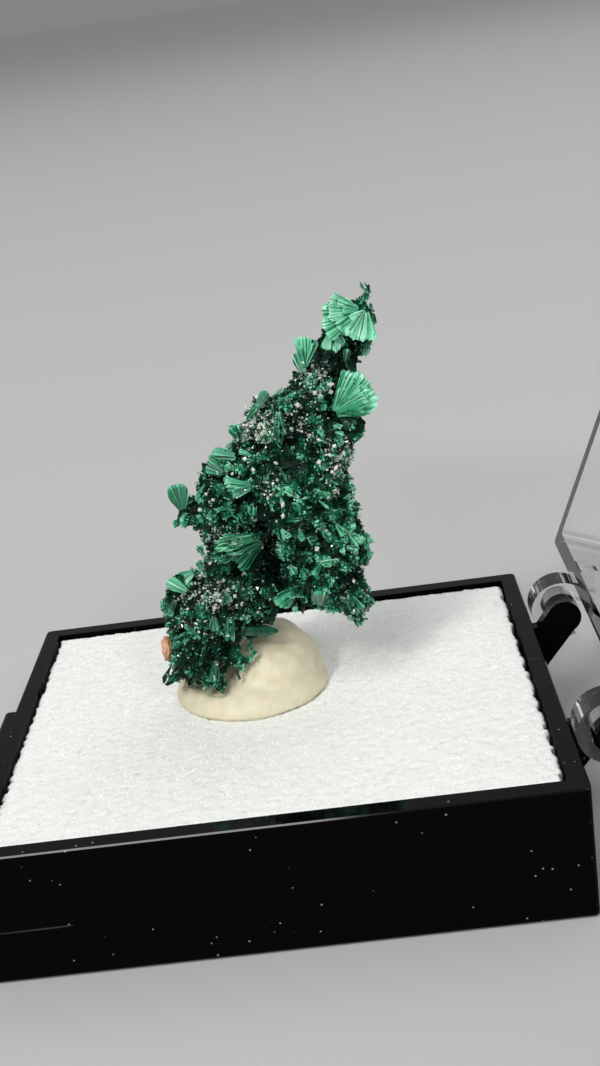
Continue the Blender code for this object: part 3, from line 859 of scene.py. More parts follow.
place, shape, tones = with_children(*named_fans(core_tree, BROAD_FANS + slimmed(SLIM_FANS)))
large_fan_mesh = fan_mesh(
    "large fans", place, shape, tones, LARGE_FAN_COLUMNS, ribs=0.022, ragged=0.10, leaves=1.3, thickness=0.11,
)
roots, along, across, lengths, openings, tones = named_fans(core_tree, PETALS)
petal_mesh = fan_mesh(
    "petals", (roots, along, across), (lengths, openings), tones, PETAL_COLUMNS,
    ribs=0.008, ragged=0.02, leaves=0.6, roundness=0.42, thickness=0.26,
)
print("large fans:", len(place[0]), "faces:", len(large_fan_mesh.polygons), len(petal_mesh.polygons))

# %% [markdown]
# ## The sparkling crust
#
# Between the fans sits a crust of tiny crystals, black-green and silver-grey, a tenth of a
# millimetre across. Sand could be faked with a bump, but real facets catch the lamp one by one,
# which is what makes a specimen sparkle. Each crystal is a stretched octahedron that stands more
# or less upright on the core. The pale crystals are partly a real grey crust and partly painted
# glints, pale colour put where the lamp flashes. The largest painted glints are named by their
# place.

# %% Strew the crystals
OCTAHEDRON = np.array([(1, 0, 0), (-1, 0, 0), (0, 1, 0), (0, -1, 0), (0, 0, 1), (0, 0, -1)], float)
OCTAHEDRON_FACES = np.array(
    [(0, 2, 4), (2, 1, 4), (1, 3, 4), (3, 0, 4), (2, 0, 5), (1, 2, 5), (3, 1, 5), (0, 3, 5)]
)
OCTAHEDRON_PLACES = np.array([0.5, 0.5, 0.5, 0.5, 1.0, 0.0])
AXIS_SCATTER = 0.55
CRYSTAL_FLATNESS = (0.55, 1.1)
CRUST_SIZE = (0.045, 0.09)
CRUST_STRETCH = (0.9, 1.6)
SIZE_STEPS = [0.8, 1.0, 1.5]
CRUST_TONE = 0.34
CRUST_FUZZ = 0.85
CRUST_BRIGHT = 0.2
CRUST_HOLLOW_SHADE = 0.35
CRUST_CREVICE_SHADE = 1.4
PALE_LEAST = 0.3
PALE_HOLLOW_SHADE = 0.3
PALE_TONE_POWER = 0.8
GLINT_ENLARGED = 1.2
GLINT_STRETCH = (0.9, 1.3)
GLINT_TONES = (0.6, 1.0)
GLINT_LIFT = 1.2
PIXEL_ON_STONE = 0.0462 * MM
SCABS = 2400
SCAB_SIZE = 0.05 * MM
SCAB_SIZES = (0.8, 1.7)
SCAB_STRETCH = (0.9, 1.5)
SCAB_TONES = (0.1, 0.7)
SCAB_SHIFT = 0.013
SCAB_FROM = 0.55
SCAB_PALE_SHARE = 0.25
SCAB_BARE_GAIN = 0.97
# Each painted glint, a pale crystal put where the lamp flashes: pixels across and down, and its width in
# pixels
PAINTED_GLINTS = [
    (336, 337, 7), (377, 332, 5), (368, 324, 5), (206, 494, 6), (213, 500, 5), (261, 547, 6),
    (283, 516, 7), (317, 549, 6), (359, 516, 7), (354, 581, 5), (298, 405, 8), (319, 440, 6),
    (330, 455, 7), (319, 462, 6), (344, 453, 6), (334, 446, 6), (336, 468, 6), (332, 472, 6),
    (283, 505, 6), (232, 474, 5), (245, 459, 6), (253, 470, 6), (276, 463, 6), (199, 632, 5),
    (235, 596, 5), (242, 603, 4), (263, 581, 4), (303, 362, 6), (310, 375, 6), (331, 384, 6),
    (320, 378, 4), (331, 392, 5), (315, 393, 6), (262, 434, 6), (212, 468, 5), (240, 402, 4),
    (350, 463, 5), (327, 470, 4), (200, 510, 5), (239, 534, 4),
]


def crystals(places, sizes, stretch, up, tones, pale):
    """Octahedra with their long axis near the given direction."""
    count = len(places)
    axis = unit(up + draw.normal(scale=AXIS_SCATTER, size=(count, 3)))
    first = unit(np.cross(axis, random_directions(count)))
    frame_of = np.stack([first, np.cross(axis, first), axis], axis=1)
    flat = draw.uniform(*CRYSTAL_FLATNESS, size=(count, 1, 2))
    scale = np.concatenate([flat, draw.uniform(*stretch, size=(count, 1, 1))], axis=2)
    corners = places[:, None] + ((OCTAHEDRON[None] * scale) @ frame_of) * sizes[:, None, None]
    return corners, {
        "tip": np.tile(OCTAHEDRON_PLACES, (count, 1)),
        "tone": np.repeat(tones[:, None], len(OCTAHEDRON), axis=1),
        "pale": np.repeat(pale[:, None], len(OCTAHEDRON), axis=1),
    }


def grow_crust(name, count, weight, pale_share):
    """Crystals over the core as one mesh."""
    chosen = scatter(core_surface, count, weight)
    places, normals = core_places[chosen], core_normals[chosen]
    sizes = draw.uniform(*CRUST_SIZE, size=count) * draw.choice(SIZE_STEPS, size=count) * MM
    # Pale crystals, partly painted glints, are fewer in the hollows and crevices: painted shade
    odds = PALE_LEAST + crust[chosen] - PALE_HOLLOW_SHADE * hollow_shade[chosen]
    odds = pale_share * odds * (CREVICE_SHADE_SHARE + lump[chosen])
    pale = (draw.random(count) < odds) * 1.0
    # Painted shade: the hollows darken the crust
    shift = CRUST_BRIGHT * bright[chosen] - CRUST_HOLLOW_SHADE * hollow_shade[chosen]
    tones = CRUST_TONE + CRUST_FUZZ * fuzz[chosen] + draw.normal(scale=TONE_SCATTER, size=count) + shift
    # Painted shade: crystals in the crevices between lumps are darkened towards black
    tones = np.clip(tones, 0.0, 1.0) * (0.05 + 0.95 * lump[chosen] ** CRUST_CREVICE_SHADE)
    tones = np.where(pale > 0.5, draw.random(count) ** PALE_TONE_POWER, tones)
    lifted = places + normals * (sizes * 0.5)[:, None]
    corners, attributes = crystals(lifted, sizes, CRUST_STRETCH, normals, tones, pale)
    return joined_mesh(name, corners, OCTAHEDRON_FACES, attributes)


everywhere = (0.6 + 0.8 * crust) * (0.45 + lump) * (LEAST_GROWTH + covered)
on_silver = (0.04 + crust**1.4) * (1.15 - fuzz) * everywhere
crust_mesh = grow_crust("crust", count=24500, weight=everywhere, pale_share=0.08)
silver_mesh = grow_crust("silver crust", count=12000, weight=on_silver, pale_share=1.0)

# Painted glints: pale crystals on the core, turned towards the camera
glint_places = np.array([tuple(on_core(core_tree, row[:2])[0]) for row in PAINTED_GLINTS])
glint_widths = np.array([width for _, _, width in PAINTED_GLINTS])
glint_sizes = glint_widths * PIXEL_ON_STONE / 2 * GLINT_ENLARGED
to_view = unit(np.array(CAMERA_PLACE) - glint_places)
glint_places = glint_places + to_view * (glint_sizes * GLINT_LIFT)[:, None]
corners, attributes = crystals(
    glint_places, glint_sizes, GLINT_STRETCH, to_view,
    draw.uniform(*GLINT_TONES, size=len(glint_sizes)), np.ones(len(glint_sizes)),
)
glint_mesh = joined_mesh("painted glint crystals", corners, OCTAHEDRON_FACES, attributes)

# Patches of crust on the large fans, except where a fan lies bare
fan_surface = read_surface(large_fan_mesh)
fan_places, fan_normals, _ = fan_surface
scab_patches = np.clip(fuzz_cover(fan_places + SCAB_SHIFT) - SCAB_FROM, 0.0, 1.0) + 0.01
scab_patches = scab_patches * (1.0 - SCAB_BARE_GAIN * spot_field(fan_places, BARE_SPOTS))
chosen = scatter(fan_surface, SCABS, scab_patches)
# Some of them are pale: in part real grey crust, in part painted glints
corners, attributes = crystals(
    fan_places[chosen], draw.uniform(*SCAB_SIZES, size=SCABS) * SCAB_SIZE, SCAB_STRETCH, fan_normals[chosen],
    draw.uniform(*SCAB_TONES, size=SCABS), (draw.random(SCABS) < SCAB_PALE_SHARE) * 1.0,
)
scab_mesh = joined_mesh("fan crust", corners, OCTAHEDRON_FACES, attributes)
print("crust faces:", len(crust_mesh.polygons), len(silver_mesh.polygons), len(glint_mesh.polygons))

# %% [markdown]
# ## Two odd pieces
#
# Two things on the specimen are neither fan nor crust. A scrap of orange-brown rock clings to its
# left side near the foot, and one glassy crystal of emerald green points right above the putty.

# %% Model the rock scrap and the emerald crystal
# Places are pixels across and down, and halves are millimetres
ROCK_PLACE = (167, 648)
ROCK_HALF = (0.28, 0.45, 0.72)
ROCK_ROUGHNESS = 0.28
ROCK_DETAIL = 2.2
ROCK_OCTAVES = 5
EMERALD_ENDS = ((246, 631), (278, 631))
EMERALD_HALF = 0.36
EMERALD_FLATNESS = 0.7
EMERALD_TURN = 15
# Each ring of the prism: share of the length, and fullness
EMERALD_RINGS = ((0.0, 0.75), (0.62, 1.0), (1.0, 0.22))


def rock_scrap(tree):
    """A rough lump of rock on the side of the core."""
    centre = on_core(tree, ROCK_PLACE)[0]
    shape = bmesh.new()
    bmesh.ops.create_icosphere(shape, subdivisions=4, radius=1.0)
    for vertex in shape.verts:
        rough = 1.0 + ROCK_ROUGHNESS * space_noise.fractal(vertex.co * ROCK_DETAIL, 1.0, 2.0, ROCK_OCTAVES)
        vertex.co = centre + Vector([c * half * MM for c, half in zip(vertex.co * rough, ROCK_HALF)])
    mesh = bpy.data.meshes.new("rock scrap")
    shape.to_mesh(mesh)
    shape.free()
    mesh.shade_flat()
    return mesh


def emerald_crystal(tree):
    """A six-sided prism with a blunt point, lying across the foot."""
    start = on_core(tree, EMERALD_ENDS[0])[0]
    to_camera = (CAMERA_PLACE - start).normalized()
    aim = on_front_plane(EMERALD_ENDS[1]) - on_front_plane(EMERALD_ENDS[0])
    side = aim.cross(to_camera).normalized()
    corners = []
    for share, fullness in EMERALD_RINGS:
        for k in range(6):
            turn = math.radians(60 * k + EMERALD_TURN)
            around = side * math.cos(turn) + to_camera * (EMERALD_FLATNESS * math.sin(turn))
            corners.append(start + aim * share + around * EMERALD_HALF * fullness * MM)
    faces = [(k, (k + 1) % 6, (k + 1) % 6 + 6, k + 6) for k in range(6)]
    faces += [(k + 6, (k + 1) % 6 + 6, (k + 1) % 6 + 12, k + 12) for k in range(6)]
    faces += [tuple(range(5, -1, -1)), tuple(range(12, 18))]
    mesh = bpy.data.meshes.new("emerald crystal")
    mesh.from_pydata(corners, [], faces)
    mesh.shade_flat()
    return mesh


rock_mesh = rock_scrap(core_tree)
emerald_mesh = emerald_crystal(core_tree)
print("rock faces:", len(rock_mesh.polygons), "emerald faces:", len(emerald_mesh.polygons))

# %% [markdown]
# ## The mineral's materials
#
# All the green growths share one node group. It takes a level, which the attributes of the mesh
# give, and an amount of mottling, and returns a green between black and mint. A group keeps the
# shared colours in one spot, while each material still sets its own gloss.

# %% Green for fans, blades and core
CLOUD_SCALE = 1400.0
SHEEN_STREAK_SCALE = 9.0
ROOT_SHADE = 0.70
RIM_POWER = 9.0
RIM_LIGHT = 0.22
SHEEN_STREAK_AMOUNT = 1.8
BLADE_MOTTLE = 0.35
CORE_MOTTLE = 0.3


def attribute(tree, name):
    """The value that the mesh carries under a name."""
    node = tree.nodes.new("ShaderNodeAttribute")
    node.attribute_name = name
    return node.outputs["Fac"]


def colour_from(tree, output):
    """Let a node's output colour the material."""
    tree.links.new(output, tree.nodes["Principled BSDF"].inputs["Base Color"])


def shaded_by(tree, value, stops):
    """The colour that a ramp of (place, colour) stops gives to a value."""
    node = ramp(tree.nodes, stops)
    tree.links.new(value, node.inputs["Fac"])
    return node.outputs["Color"]


def math_node(tree, operation, first, second, clamp=False):
    """One arithmetic step between sockets or numbers."""
    node = tree.nodes.new("ShaderNodeMath")
    node.operation = operation
    node.use_clamp = clamp
    for socket, value in zip(node.inputs, (first, second)):
        if isinstance(value, (int, float)):
            socket.default_value = value
        else:
            tree.links.new(value, socket)
    return node.outputs[0]


def noise(tree, scale, detail=3.0, roughness=0.6):
    """Object-space noise, with its value centred near one half."""
    node = tree.nodes.new("ShaderNodeTexNoise")
    node.inputs["Scale"].default_value = scale
    node.inputs["Detail"].default_value = detail
    node.inputs["Roughness"].default_value = roughness
    tree.links.new(tree.nodes.new("ShaderNodeTexCoord").outputs["Object"], node.inputs["Vector"])
    return node.outputs["Fac"]


def new_group(name, inputs, outputs):
    """An empty node group with number inputs (name: default) and outputs (name: socket type)."""
    tree = bpy.data.node_groups.new(name, "ShaderNodeTree")
    for label, value in inputs.items():
        socket = tree.interface.new_socket(label, in_out="INPUT", socket_type="NodeSocketFloat")
        socket.default_value = value
    for label, kind in outputs.items():
        tree.interface.new_socket(label, in_out="OUTPUT", socket_type=kind)
    return tree, tree.nodes.new("NodeGroupInput"), tree.nodes.new("NodeGroupOutput")


def use_group(tree, group, **values):
    """Put a group into a material, with numbers or sockets on its inputs."""
    node = tree.nodes.new("ShaderNodeGroup")
    node.node_tree = group
    for label, value in values.items():
        if isinstance(value, (int, float)):
            node.inputs[label].default_value = value
        else:
            tree.links.new(value, node.inputs[label])
    return node


def green_group():
    """Level to green, with soft mottling."""
    tree, given, result = new_group(
        "mineral green", {"Level": 0.5, "Mottle": 0.2}, {"Color": "NodeSocketColor"},
    )
    cloud = math_node(tree, "SUBTRACT", noise(tree, CLOUD_SCALE), 0.5)
    shade = math_node(tree, "MULTIPLY", cloud, given.outputs["Mottle"])
    level = math_node(tree, "ADD", given.outputs["Level"], shade, clamp=True)
    green = shaded_by(tree, level, [
        (0.0, (0.0015, 0.009, 0.006)),
        (0.15, (0.003, 0.035, 0.018)),
        (0.34, (0.003, 0.13, 0.055)),
        (0.55, (0.03, 0.34, 0.17)),
        (0.78, (0.13, 0.60, 0.36)),
        (1.0, (0.36, 0.84, 0.60)),
    ])
    tree.links.new(green, result.inputs["Color"])
    return tree


def sheen_streak_group():
    """Painted silky sheen: light and dark streaks across an arc, as a value centred on zero."""
    tree, given, result = new_group(
        "painted silky sheen", {"Arc": 0.0, "Amount": 0.5}, {"Value": "NodeSocketFloat"},
    )
    node = tree.nodes.new("ShaderNodeTexNoise")
    node.noise_dimensions = "1D"
    node.inputs["Scale"].default_value = SHEEN_STREAK_SCALE
    node.inputs["Detail"].default_value = 3.0
    tree.links.new(given.outputs["Arc"], node.inputs["W"])
    centred = math_node(tree, "SUBTRACT", node.outputs["Fac"], 0.5)
    tree.links.new(math_node(tree, "MULTIPLY", centred, given.outputs["Amount"]), result.inputs["Value"])
    return tree


def blade_material(group, streaks):
    """Silky green that runs from darker roots to paler rims, with a painted highlight on the very rim."""
    made = principled("malachite blades", (0.02, 0.2, 0.12), 0.38, IOR=1.75)
    tree = made.node_tree
    tip = attribute(tree, "tip")
    shade = math_node(tree, "ADD", math_node(tree, "MULTIPLY", tip, 1.0 - ROOT_SHADE), ROOT_SHADE)
    body = math_node(tree, "MULTIPLY", attribute(tree, "tone"), shade)
    # Painted highlight: a bright band along the rim
    rim = math_node(tree, "MULTIPLY", math_node(tree, "POWER", tip, RIM_POWER), RIM_LIGHT)
    # Painted silky sheen: streaks of lighter and darker green along the arc
    streak = use_group(tree, streaks, Arc=attribute(tree, "arc"), Amount=SHEEN_STREAK_AMOUNT)
    body = math_node(tree, "ADD", body, streak.outputs["Value"])
    level = math_node(tree, "ADD", body, rim, clamp=True)
    green = use_group(tree, group, Level=level, Mottle=BLADE_MOTTLE)
    colour_from(tree, green.outputs["Color"])
    return made


def core_material(group):
    """Dark stone under the growths, lighter on lump tops and darker in crevices and hollows, as painted light
    and shade.
    """
    made = principled("malachite core", (0.004, 0.022, 0.015), 0.60, IOR=1.5, Specular_IOR_Level=0.2)
    tree = made.node_tree
    green = use_group(tree, group, Level=attribute(tree, "tone"), Mottle=CORE_MOTTLE)
    colour_from(tree, green.outputs["Color"])
    return made


greens = green_group()
blades_finish = blade_material(greens, sheen_streak_group())
core_finish = core_material(greens)
print("nodes in the green group:", len(greens.nodes))

# %% [markdown]
# ## Black, silver, rust and emerald
#
# The crystals of the crust take the same greens, but a third attribute turns the pale ones silver
# with a rosy cast; they are partly a real grey crust and partly painted glints. The rock and the
# emerald crystal get a material each. Then every mesh becomes a piece that rides on the box, and
# the core takes the place of the bare solid.

# %% Dress the specimen
CRUST_TONE_POWER = 1.1
CRUST_TONE_GAIN = 0.95
CRUST_MOTTLE = 0.2
ROCK_CLOUD_SCALE = 1800.0
EMERALD_LEVEL = 0.22
EMERALD_MOTTLE = 0.7


def crust_material(group):
    """Glassy crystals: most are black-green, and some are pale with a rosy or grey cast, partly real grey
    crust and partly painted glints.
    """
    made = principled("malachite crust", (0.01, 0.04, 0.03), 0.15, IOR=1.75)
    tree = made.node_tree
    tone = attribute(tree, "tone")
    level = math_node(tree, "MULTIPLY", math_node(tree, "POWER", tone, CRUST_TONE_POWER), CRUST_TONE_GAIN)
    green = use_group(tree, group, Level=level, Mottle=CRUST_MOTTLE)
    # Pale crystals: grey crust at low tone, and rosy white painted glints at high tone
    silver = shaded_by(tree, tone, [
        (0.0, (0.16, 0.29, 0.22)),
        (0.4, (0.42, 0.56, 0.46)),
        (0.75, (0.75, 0.80, 0.72)),
        (1.0, (0.92, 0.82, 0.78)),
    ])
    mix = tree.nodes.new("ShaderNodeMix")
    mix.data_type = "RGBA"
    tree.links.new(attribute(tree, "pale"), mix.inputs["Factor"])
    tree.links.new(green.outputs["Color"], mix.inputs[6])
    tree.links.new(silver, mix.inputs[7])
    colour_from(tree, mix.outputs[2])
    return made


def rock_material():
    """Rusty brown with paler spots."""
    made = principled("iron-stained rock", (0.5, 0.22, 0.1), 0.8)
    tree = made.node_tree
    colour_from(tree, shaded_by(tree, noise(tree, ROCK_CLOUD_SCALE), [
        (0.3, (0.42, 0.18, 0.08)),
        (0.5, (0.68, 0.36, 0.20)),
        (0.7, (0.80, 0.55, 0.38)),
    ]))
    return made


def emerald_material(group):
    """Deep teal-green, glassy crystal with cloudy patches."""
    made = principled("emerald crystal", (0.01, 0.2, 0.12), 0.12, IOR=1.5)
    tree = made.node_tree
    green = use_group(tree, group, Level=EMERALD_LEVEL, Mottle=EMERALD_MOTTLE)
    colour_from(tree, green.outputs["Color"])
    return made


crust_finish = crust_material(greens)
core_mesh.materials.clear()
core_mesh.materials.append(core_finish)
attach(core, "box")
pieces = [core]
for name, mesh, finish in (
    ("malachite_needles", needle_mesh, blades_finish),
    ("malachite_sheaves", sheaf_mesh, blades_finish),
    ("malachite_small_fans", small_fan_mesh, blades_finish),
    ("malachite_large_fans", large_fan_mesh, blades_finish),
    ("malachite_petals", petal_mesh, blades_finish),
    ("malachite_crust", crust_mesh, crust_finish),
    ("malachite_silver_crust", silver_mesh, crust_finish),
    ("malachite_painted_glints", glint_mesh, crust_finish),
    ("malachite_fan_crust", scab_mesh, crust_finish),
    ("rock_scrap", rock_mesh, rock_material()),
    ("emerald_crystal", emerald_mesh, emerald_material(greens)),
):
    pieces.append(new_piece(name, mesh, finish, "box"))
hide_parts("malachite")
for piece in pieces:
    print(piece.name, "triangles:", sum(len(p.vertices) - 2 for p in piece.data.polygons))

# %% [markdown]
# ## The foam pad
#
# The pad is a slice of foam made of white beads fused together. From above it is a field of small
# domes, each a third of a millimetre wide, with dim valleys between them and loose grains on top.
# A net over the top takes its heights from the distance to the nearest of many jittered points,
# which is the pattern that packed beads make. The net's rim drops as a skirt to the underside.

# %% Mould the beads of the pad
PAD_STEP = 0.13 * MM
BEAD_SPACING = 0.36 * MM
BEAD_HEIGHT = 0.10 * MM
PAD_EDGE_DROP = 0.12 * MM
PAD_EDGE_TEAR = 0.25 * MM
PAD_RIM = 0.35 * MM
PAD_TEAR_ZONE = 0.2 * MM
BEAD_TABLE = 128
BEAD_JITTER = (0.12, 0.88)
BEAD_RADIUS = 0.85
DOME_SHARE = 0.8
OWNER_SHARE = 0.35
PAD_GRAINS = 10500
GRAIN_SIZE = (0.05, 0.09)
GRAIN_STRETCH = (0.5, 0.9)
GRAIN_WHITES = (0.35, 1.0)
GRAIN_DEPTH = 0.25 * MM
GRAIN_ZONE = (14.5 * MM, 12.2 * MM)
FOAM_GRAIN_SCALE = 2600.0
FOAM_GRAIN_AMOUNT = 0.35


def bead_heights(x, y):
    """How high the nearest bead stands at each place, from 0 to 1, and a random number a bead."""
    columns = np.floor(x / BEAD_SPACING).astype(int)
    rows = np.floor(y / BEAD_SPACING).astype(int)
    jitter = draw.uniform(*BEAD_JITTER, size=(2, BEAD_TABLE, BEAD_TABLE))
    lift = draw.random((BEAD_TABLE, BEAD_TABLE))
    nearest = np.full(x.shape, 9.0)
    owner = np.zeros(x.shape)
    for dx in (-1, 0, 1):
        for dy in (-1, 0, 1):
            i = (columns + dx) % BEAD_TABLE
            j = (rows + dy) % BEAD_TABLE
            away_x = x / BEAD_SPACING - (columns + dx + jitter[0, i, j])
            away_y = y / BEAD_SPACING - (rows + dy + jitter[1, i, j])
            away = np.hypot(away_x, away_y)
            closer = away < nearest
            nearest = np.where(closer, away, nearest)
            owner = np.where(closer, lift[i, j], owner)
    return np.sqrt(np.clip(1.0 - (nearest / BEAD_RADIUS) ** 2, 0.0, 1.0)), owner


def bead_pad(solid):
    """The pad's top as a field of beads, with a skirt down to its underside."""
    low = np.array([min(v.co[i] for v in solid.vertices) for i in range(3)])
    high = np.array([max(v.co[i] for v in solid.vertices) for i in range(3)])
    across = np.linspace(low[0], high[0], int((high[0] - low[0]) / PAD_STEP) + 1)
    deep = np.linspace(low[1], high[1], int((high[1] - low[1]) / PAD_STEP) + 1)
    x, y = np.meshgrid(across, deep, indexing="ij")
    dome, owner = bead_heights(x + 0.1, y + 0.1)
    edge = np.minimum.reduce([x - low[0], high[0] - x, y - low[1], high[1] - y])
    rim = np.clip(1.0 - edge / PAD_RIM, 0.0, 1.0)
    below_top = BEAD_HEIGHT * (DOME_SHARE * (1.0 - dome) + OWNER_SHARE * owner) + PAD_EDGE_DROP * rim**2
    z = high[2] - below_top
    tear = PAD_EDGE_TEAR * rim**2 * owner**2
    x = x - np.sign(x) * tear * (np.minimum(x - low[0], high[0] - x) < PAD_TEAR_ZONE)
    y = y - np.sign(y) * tear * (np.minimum(y - low[1], high[1] - y) < PAD_TEAR_ZONE)
    ring = np.arange(x.size).reshape(x.shape)
    quads = np.stack([ring[:-1, :-1], ring[1:, :-1], ring[1:, 1:], ring[:-1, 1:]], axis=-1).reshape(-1, 4)
    loop = np.concatenate([ring[:, 0], ring[-1, 1:], ring[-2::-1, -1], ring[0, -2:0:-1]])
    top = np.stack([x, y, z], axis=-1).reshape(-1, 3)
    foot = top[loop].copy()
    foot[:, 2] = low[2]
    below = np.arange(len(loop)) + len(top)
    skirt = np.stack([np.roll(loop, -1), loop, below, np.roll(below, -1)], axis=-1)
    mesh = bpy.data.meshes.new("bead foam")
    faces = [tuple(q) for q in quads.tolist()] + [tuple(q) for q in skirt.tolist()]
    mesh.from_pydata(np.concatenate([top, foot]).tolist(), [], faces + [tuple(below[::-1].tolist())])
    mesh.shade_smooth()
    layer = mesh.attributes.new("bead", "FLOAT", "POINT")
    # Colour level: low in the valleys between domes, which is painted shade, and random a bead
    values = np.concatenate([dome.ravel() * 0.7 + owner.ravel() * 0.3, np.full(len(loop), 0.5)])
    layer.data.foreach_set("value", values.astype(np.float32))
    return mesh


def grain_group():
    """Fine grain as a value, for pad and putty."""
    tree, given, result = new_group(
        "fine grain", {"Scale": 1000.0, "Amount": 0.2}, {"Value": "NodeSocketFloat"},
    )
    node = tree.nodes.new("ShaderNodeTexNoise")
    node.inputs["Detail"].default_value = 4.0
    tree.links.new(given.outputs["Scale"], node.inputs["Scale"])
    tree.links.new(tree.nodes.new("ShaderNodeTexCoord").outputs["Object"], node.inputs["Vector"])
    centred = math_node(tree, "SUBTRACT", node.outputs["Fac"], 0.5)
    value = math_node(tree, "MULTIPLY", centred, given.outputs["Amount"])
    tree.links.new(value, result.inputs["Value"])
    return tree


def foam_material(grain):
    """White beads, with painted shade greying the valleys between them."""
    made = principled("white foam", (0.85, 0.86, 0.86), 0.30)
    tree = made.node_tree
    fine = use_group(tree, grain, Scale=FOAM_GRAIN_SCALE, Amount=FOAM_GRAIN_AMOUNT)
    level = math_node(tree, "ADD", attribute(tree, "bead"), fine.outputs["Value"], clamp=True)
    colour_from(tree, shaded_by(tree, level, [
        (0.0, (0.60, 0.63, 0.61)),
        (0.35, (0.82, 0.84, 0.82)),
        (0.8, (0.92, 0.93, 0.91)),
    ]))
    return made


grain = grain_group()
pad_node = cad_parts["foam_pad"]
foam_finish = foam_material(grain)
pad = new_piece("bead_foam", bead_pad(pad_node.data), foam_finish, "box")
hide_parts("foam_pad")

pad_points = np.array([tuple(v.co) for v in pad.data.vertices])
on_top = pad_points[pad_points[:, 2] > pad_points[:, 2].max() - GRAIN_DEPTH]
inside = (np.abs(on_top[:, 0]) < GRAIN_ZONE[0]) & (np.abs(on_top[:, 1]) < GRAIN_ZONE[1])
seats = on_top[inside][draw.choice(inside.sum(), size=PAD_GRAINS, replace=False)]
up = np.tile(np.array([0.0, 0.0, 1.0]), (PAD_GRAINS, 1))
corners, attributes = crystals(
    seats, draw.uniform(*GRAIN_SIZE, size=PAD_GRAINS) * MM, GRAIN_STRETCH, up,
    draw.random(PAD_GRAINS), np.ones(PAD_GRAINS),
)
attributes["bead"] = np.repeat(draw.uniform(*GRAIN_WHITES, size=(PAD_GRAINS, 1)), len(OCTAHEDRON), axis=1)
grain_mesh = joined_mesh("foam grains", corners, OCTAHEDRON_FACES, attributes)
snow = new_piece("foam_grains", grain_mesh, foam_finish, "box")
print("pad faces:", len(pad.data.polygons), len(snow.data.polygons))

# %% [markdown]
# ## The putty
#
# The mound was pressed and stroked by a finger, so its surface carries shallow dents about a
# millimetre wide. A fine net over the solid takes them from soft noise. The mound's lowest part
# goes a little deeper, into the beads of the pad.

# %% Stroke the putty
PUTTY_NET = 0.11 * MM
PUTTY_SMOOTHING = 6
DENT_SIZE = 0.9 * MM
DENT_DEPTH = 0.05 * MM
PUTTY_SEAT = 0.12 * MM
PUTTY_GRAIN_SCALE = 1500.0
PUTTY_GRAIN_AMOUNT = 1.0


def putty_material(grain):
    """Cream, a little waxy, with faint grain."""
    made = principled(
        "mineral putty", (0.72, 0.65, 0.47), 0.5, Subsurface_Weight=0.2, Subsurface_Scale=0.8 * MM,
    )
    tree = made.node_tree
    fine = use_group(tree, grain, Scale=PUTTY_GRAIN_SCALE, Amount=PUTTY_GRAIN_AMOUNT)
    level = math_node(tree, "ADD", fine.outputs["Value"], 0.5, clamp=True)
    colour_from(tree, shaded_by(tree, level, [(0.25, (0.69, 0.63, 0.44)), (0.7, (0.83, 0.77, 0.58))]))
    return made


putty = bpy.data.objects.new("stroked_putty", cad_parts["putty"].data.copy())
bpy.context.scene.collection.objects.link(putty)
voxel_remesh(putty, PUTTY_NET)
smooth = putty.modifiers.new("smooth", "SMOOTH")
smooth.iterations = PUTTY_SMOOTHING
displace(putty, -DENT_DEPTH, cloud_texture("dents", "CLOUDS", DENT_SIZE))
putty_mesh = apply_modifiers(putty)
pad_top = max(v.co.z for v in pad_node.data.vertices)
for vertex in putty_mesh.vertices:
    if vertex.co.z < pad_top + PUTTY_SEAT:
        vertex.co.z -= PUTTY_SEAT
putty_mesh.shade_smooth()
putty_mesh.materials.clear()
putty_mesh.materials.append(putty_material(grain))
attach(putty, "box")
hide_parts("putty")
print("putty faces:", len(putty_mesh.polygons))

# %% [markdown]
# ## The tray and the lid
#
# These solids already have their right shape, so they keep it and only get a finish. A box that
# has been handled carries dust and hairline scratches, and both plastics take them from one
# group: white specks, and long thin lines that cross at odd angles.

# %% Finishes for the box
UPRIGHT = 0.2
SPECK_SCALE = 1400.0
SPECK_RADIUS = 0.075
DUSTY_SCALE = 260.0
HAIR_TURNS = (0.35, 1.45, -0.8)
HAIR_LEAN = 0.3
HAIR_STRETCH = (60.0, 9000.0, 2500.0)
HAIR_FROM = 0.80
STYRENE_BLACK = (0.0020, 0.0013, 0.0012)
DUST_GREY = (0.60, 0.60, 0.58)
TRAY_ROUGHNESS = 0.08
TRAY_WEAR_ROUGHNESS = 0.5
LID_ROUGHNESS = 0.02
LID_WEAR_ROUGHNESS = 0.35
RIM_GLOSS = 0.45
WALL_GLOSS = 0.03


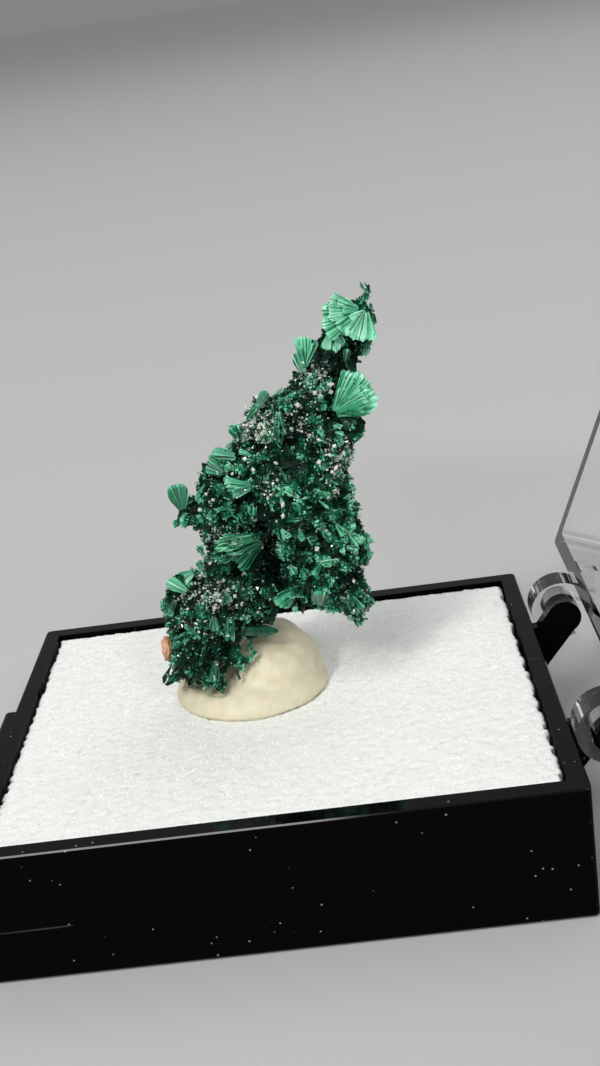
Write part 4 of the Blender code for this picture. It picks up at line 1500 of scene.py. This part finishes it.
def wear_group():
    """Dust specks and hairline scratches as masks from 0 to 1."""
    tree, given, result = new_group(
        "dust and scratches", {"Dust": 0.5, "Scratches": 0.5},
        {"Specks": "NodeSocketFloat", "Lines": "NodeSocketFloat"},
    )
    coords = tree.nodes.new("ShaderNodeTexCoord").outputs["Object"]
    cells = tree.nodes.new("ShaderNodeTexVoronoi")
    cells.inputs["Scale"].default_value = SPECK_SCALE
    tree.links.new(coords, cells.inputs["Vector"])
    close = math_node(tree, "LESS_THAN", cells.outputs["Distance"], SPECK_RADIUS)
    chosen = math_node(tree, "GREATER_THAN", noise(tree, DUSTY_SCALE, 2.0), 0.50)
    specks = math_node(tree, "MULTIPLY", math_node(tree, "MULTIPLY", close, chosen), given.outputs["Dust"])
    lines = None
    for turn in HAIR_TURNS:
        mapping = tree.nodes.new("ShaderNodeMapping")
        mapping.inputs["Rotation"].default_value = (0.0, HAIR_LEAN, turn)
        mapping.inputs["Scale"].default_value = HAIR_STRETCH
        tree.links.new(coords, mapping.inputs["Vector"])
        hair = tree.nodes.new("ShaderNodeTexNoise")
        hair.inputs["Scale"].default_value = 1.0
        hair.inputs["Detail"].default_value = 1.0
        tree.links.new(mapping.outputs["Vector"], hair.inputs["Vector"])
        line = math_node(tree, "GREATER_THAN", hair.outputs["Fac"], HAIR_FROM)
        lines = line if lines is None else math_node(tree, "MAXIMUM", lines, line)
    lines = math_node(tree, "MULTIPLY", lines, given.outputs["Scratches"])
    tree.links.new(specks, result.inputs["Specks"])
    tree.links.new(lines, result.inputs["Lines"])
    return tree


def worn(tree, wear, dust, scratches, smooth, gain):
    """Roughen a material where it is dusty or scratched, and return that mask."""
    marks = use_group(tree, wear, Dust=dust, Scratches=scratches)
    level = math_node(tree, "ADD", marks.outputs["Specks"], marks.outputs["Lines"], clamp=True)
    rough = math_node(tree, "ADD", math_node(tree, "MULTIPLY", level, gain), smooth)
    tree.links.new(rough, tree.nodes["Principled BSDF"].inputs["Roughness"])
    return level


def tray_material(name, wear, gloss):
    """Black styrene with dust."""
    made = principled(name, STYRENE_BLACK, TRAY_ROUGHNESS, Specular_IOR_Level=gloss)
    tree = made.node_tree
    level = worn(tree, wear, 0.45, 0.06, TRAY_ROUGHNESS, TRAY_WEAR_ROUGHNESS)
    colour_from(tree, shaded_by(tree, level, [(0.0, STYRENE_BLACK), (1.0, DUST_GREY)]))
    return made


def lid_material(wear):
    """Clear styrene with faint scratches."""
    made = principled("clear styrene", (0.97, 0.98, 0.98), LID_ROUGHNESS, Transmission_Weight=1.0, IOR=1.57)
    worn(made.node_tree, wear, 0.25, 0.35, LID_ROUGHNESS, LID_WEAR_ROUGHNESS)
    return made


wear = wear_group()
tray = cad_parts["box_base"]
tray.data.materials.clear()
tray.data.materials.append(tray_material("black styrene rim", wear, RIM_GLOSS))
tray.data.materials.append(tray_material("black styrene wall", wear, WALL_GLOSS))
for polygon in tray.data.polygons:
    polygon.material_index = int(abs(polygon.normal.z) < UPRIGHT)
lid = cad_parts["lid"]
lid.data.materials.clear()
lid.data.materials.append(lid_material(wear))
print("nodes in the wear group:", len(wear.nodes))
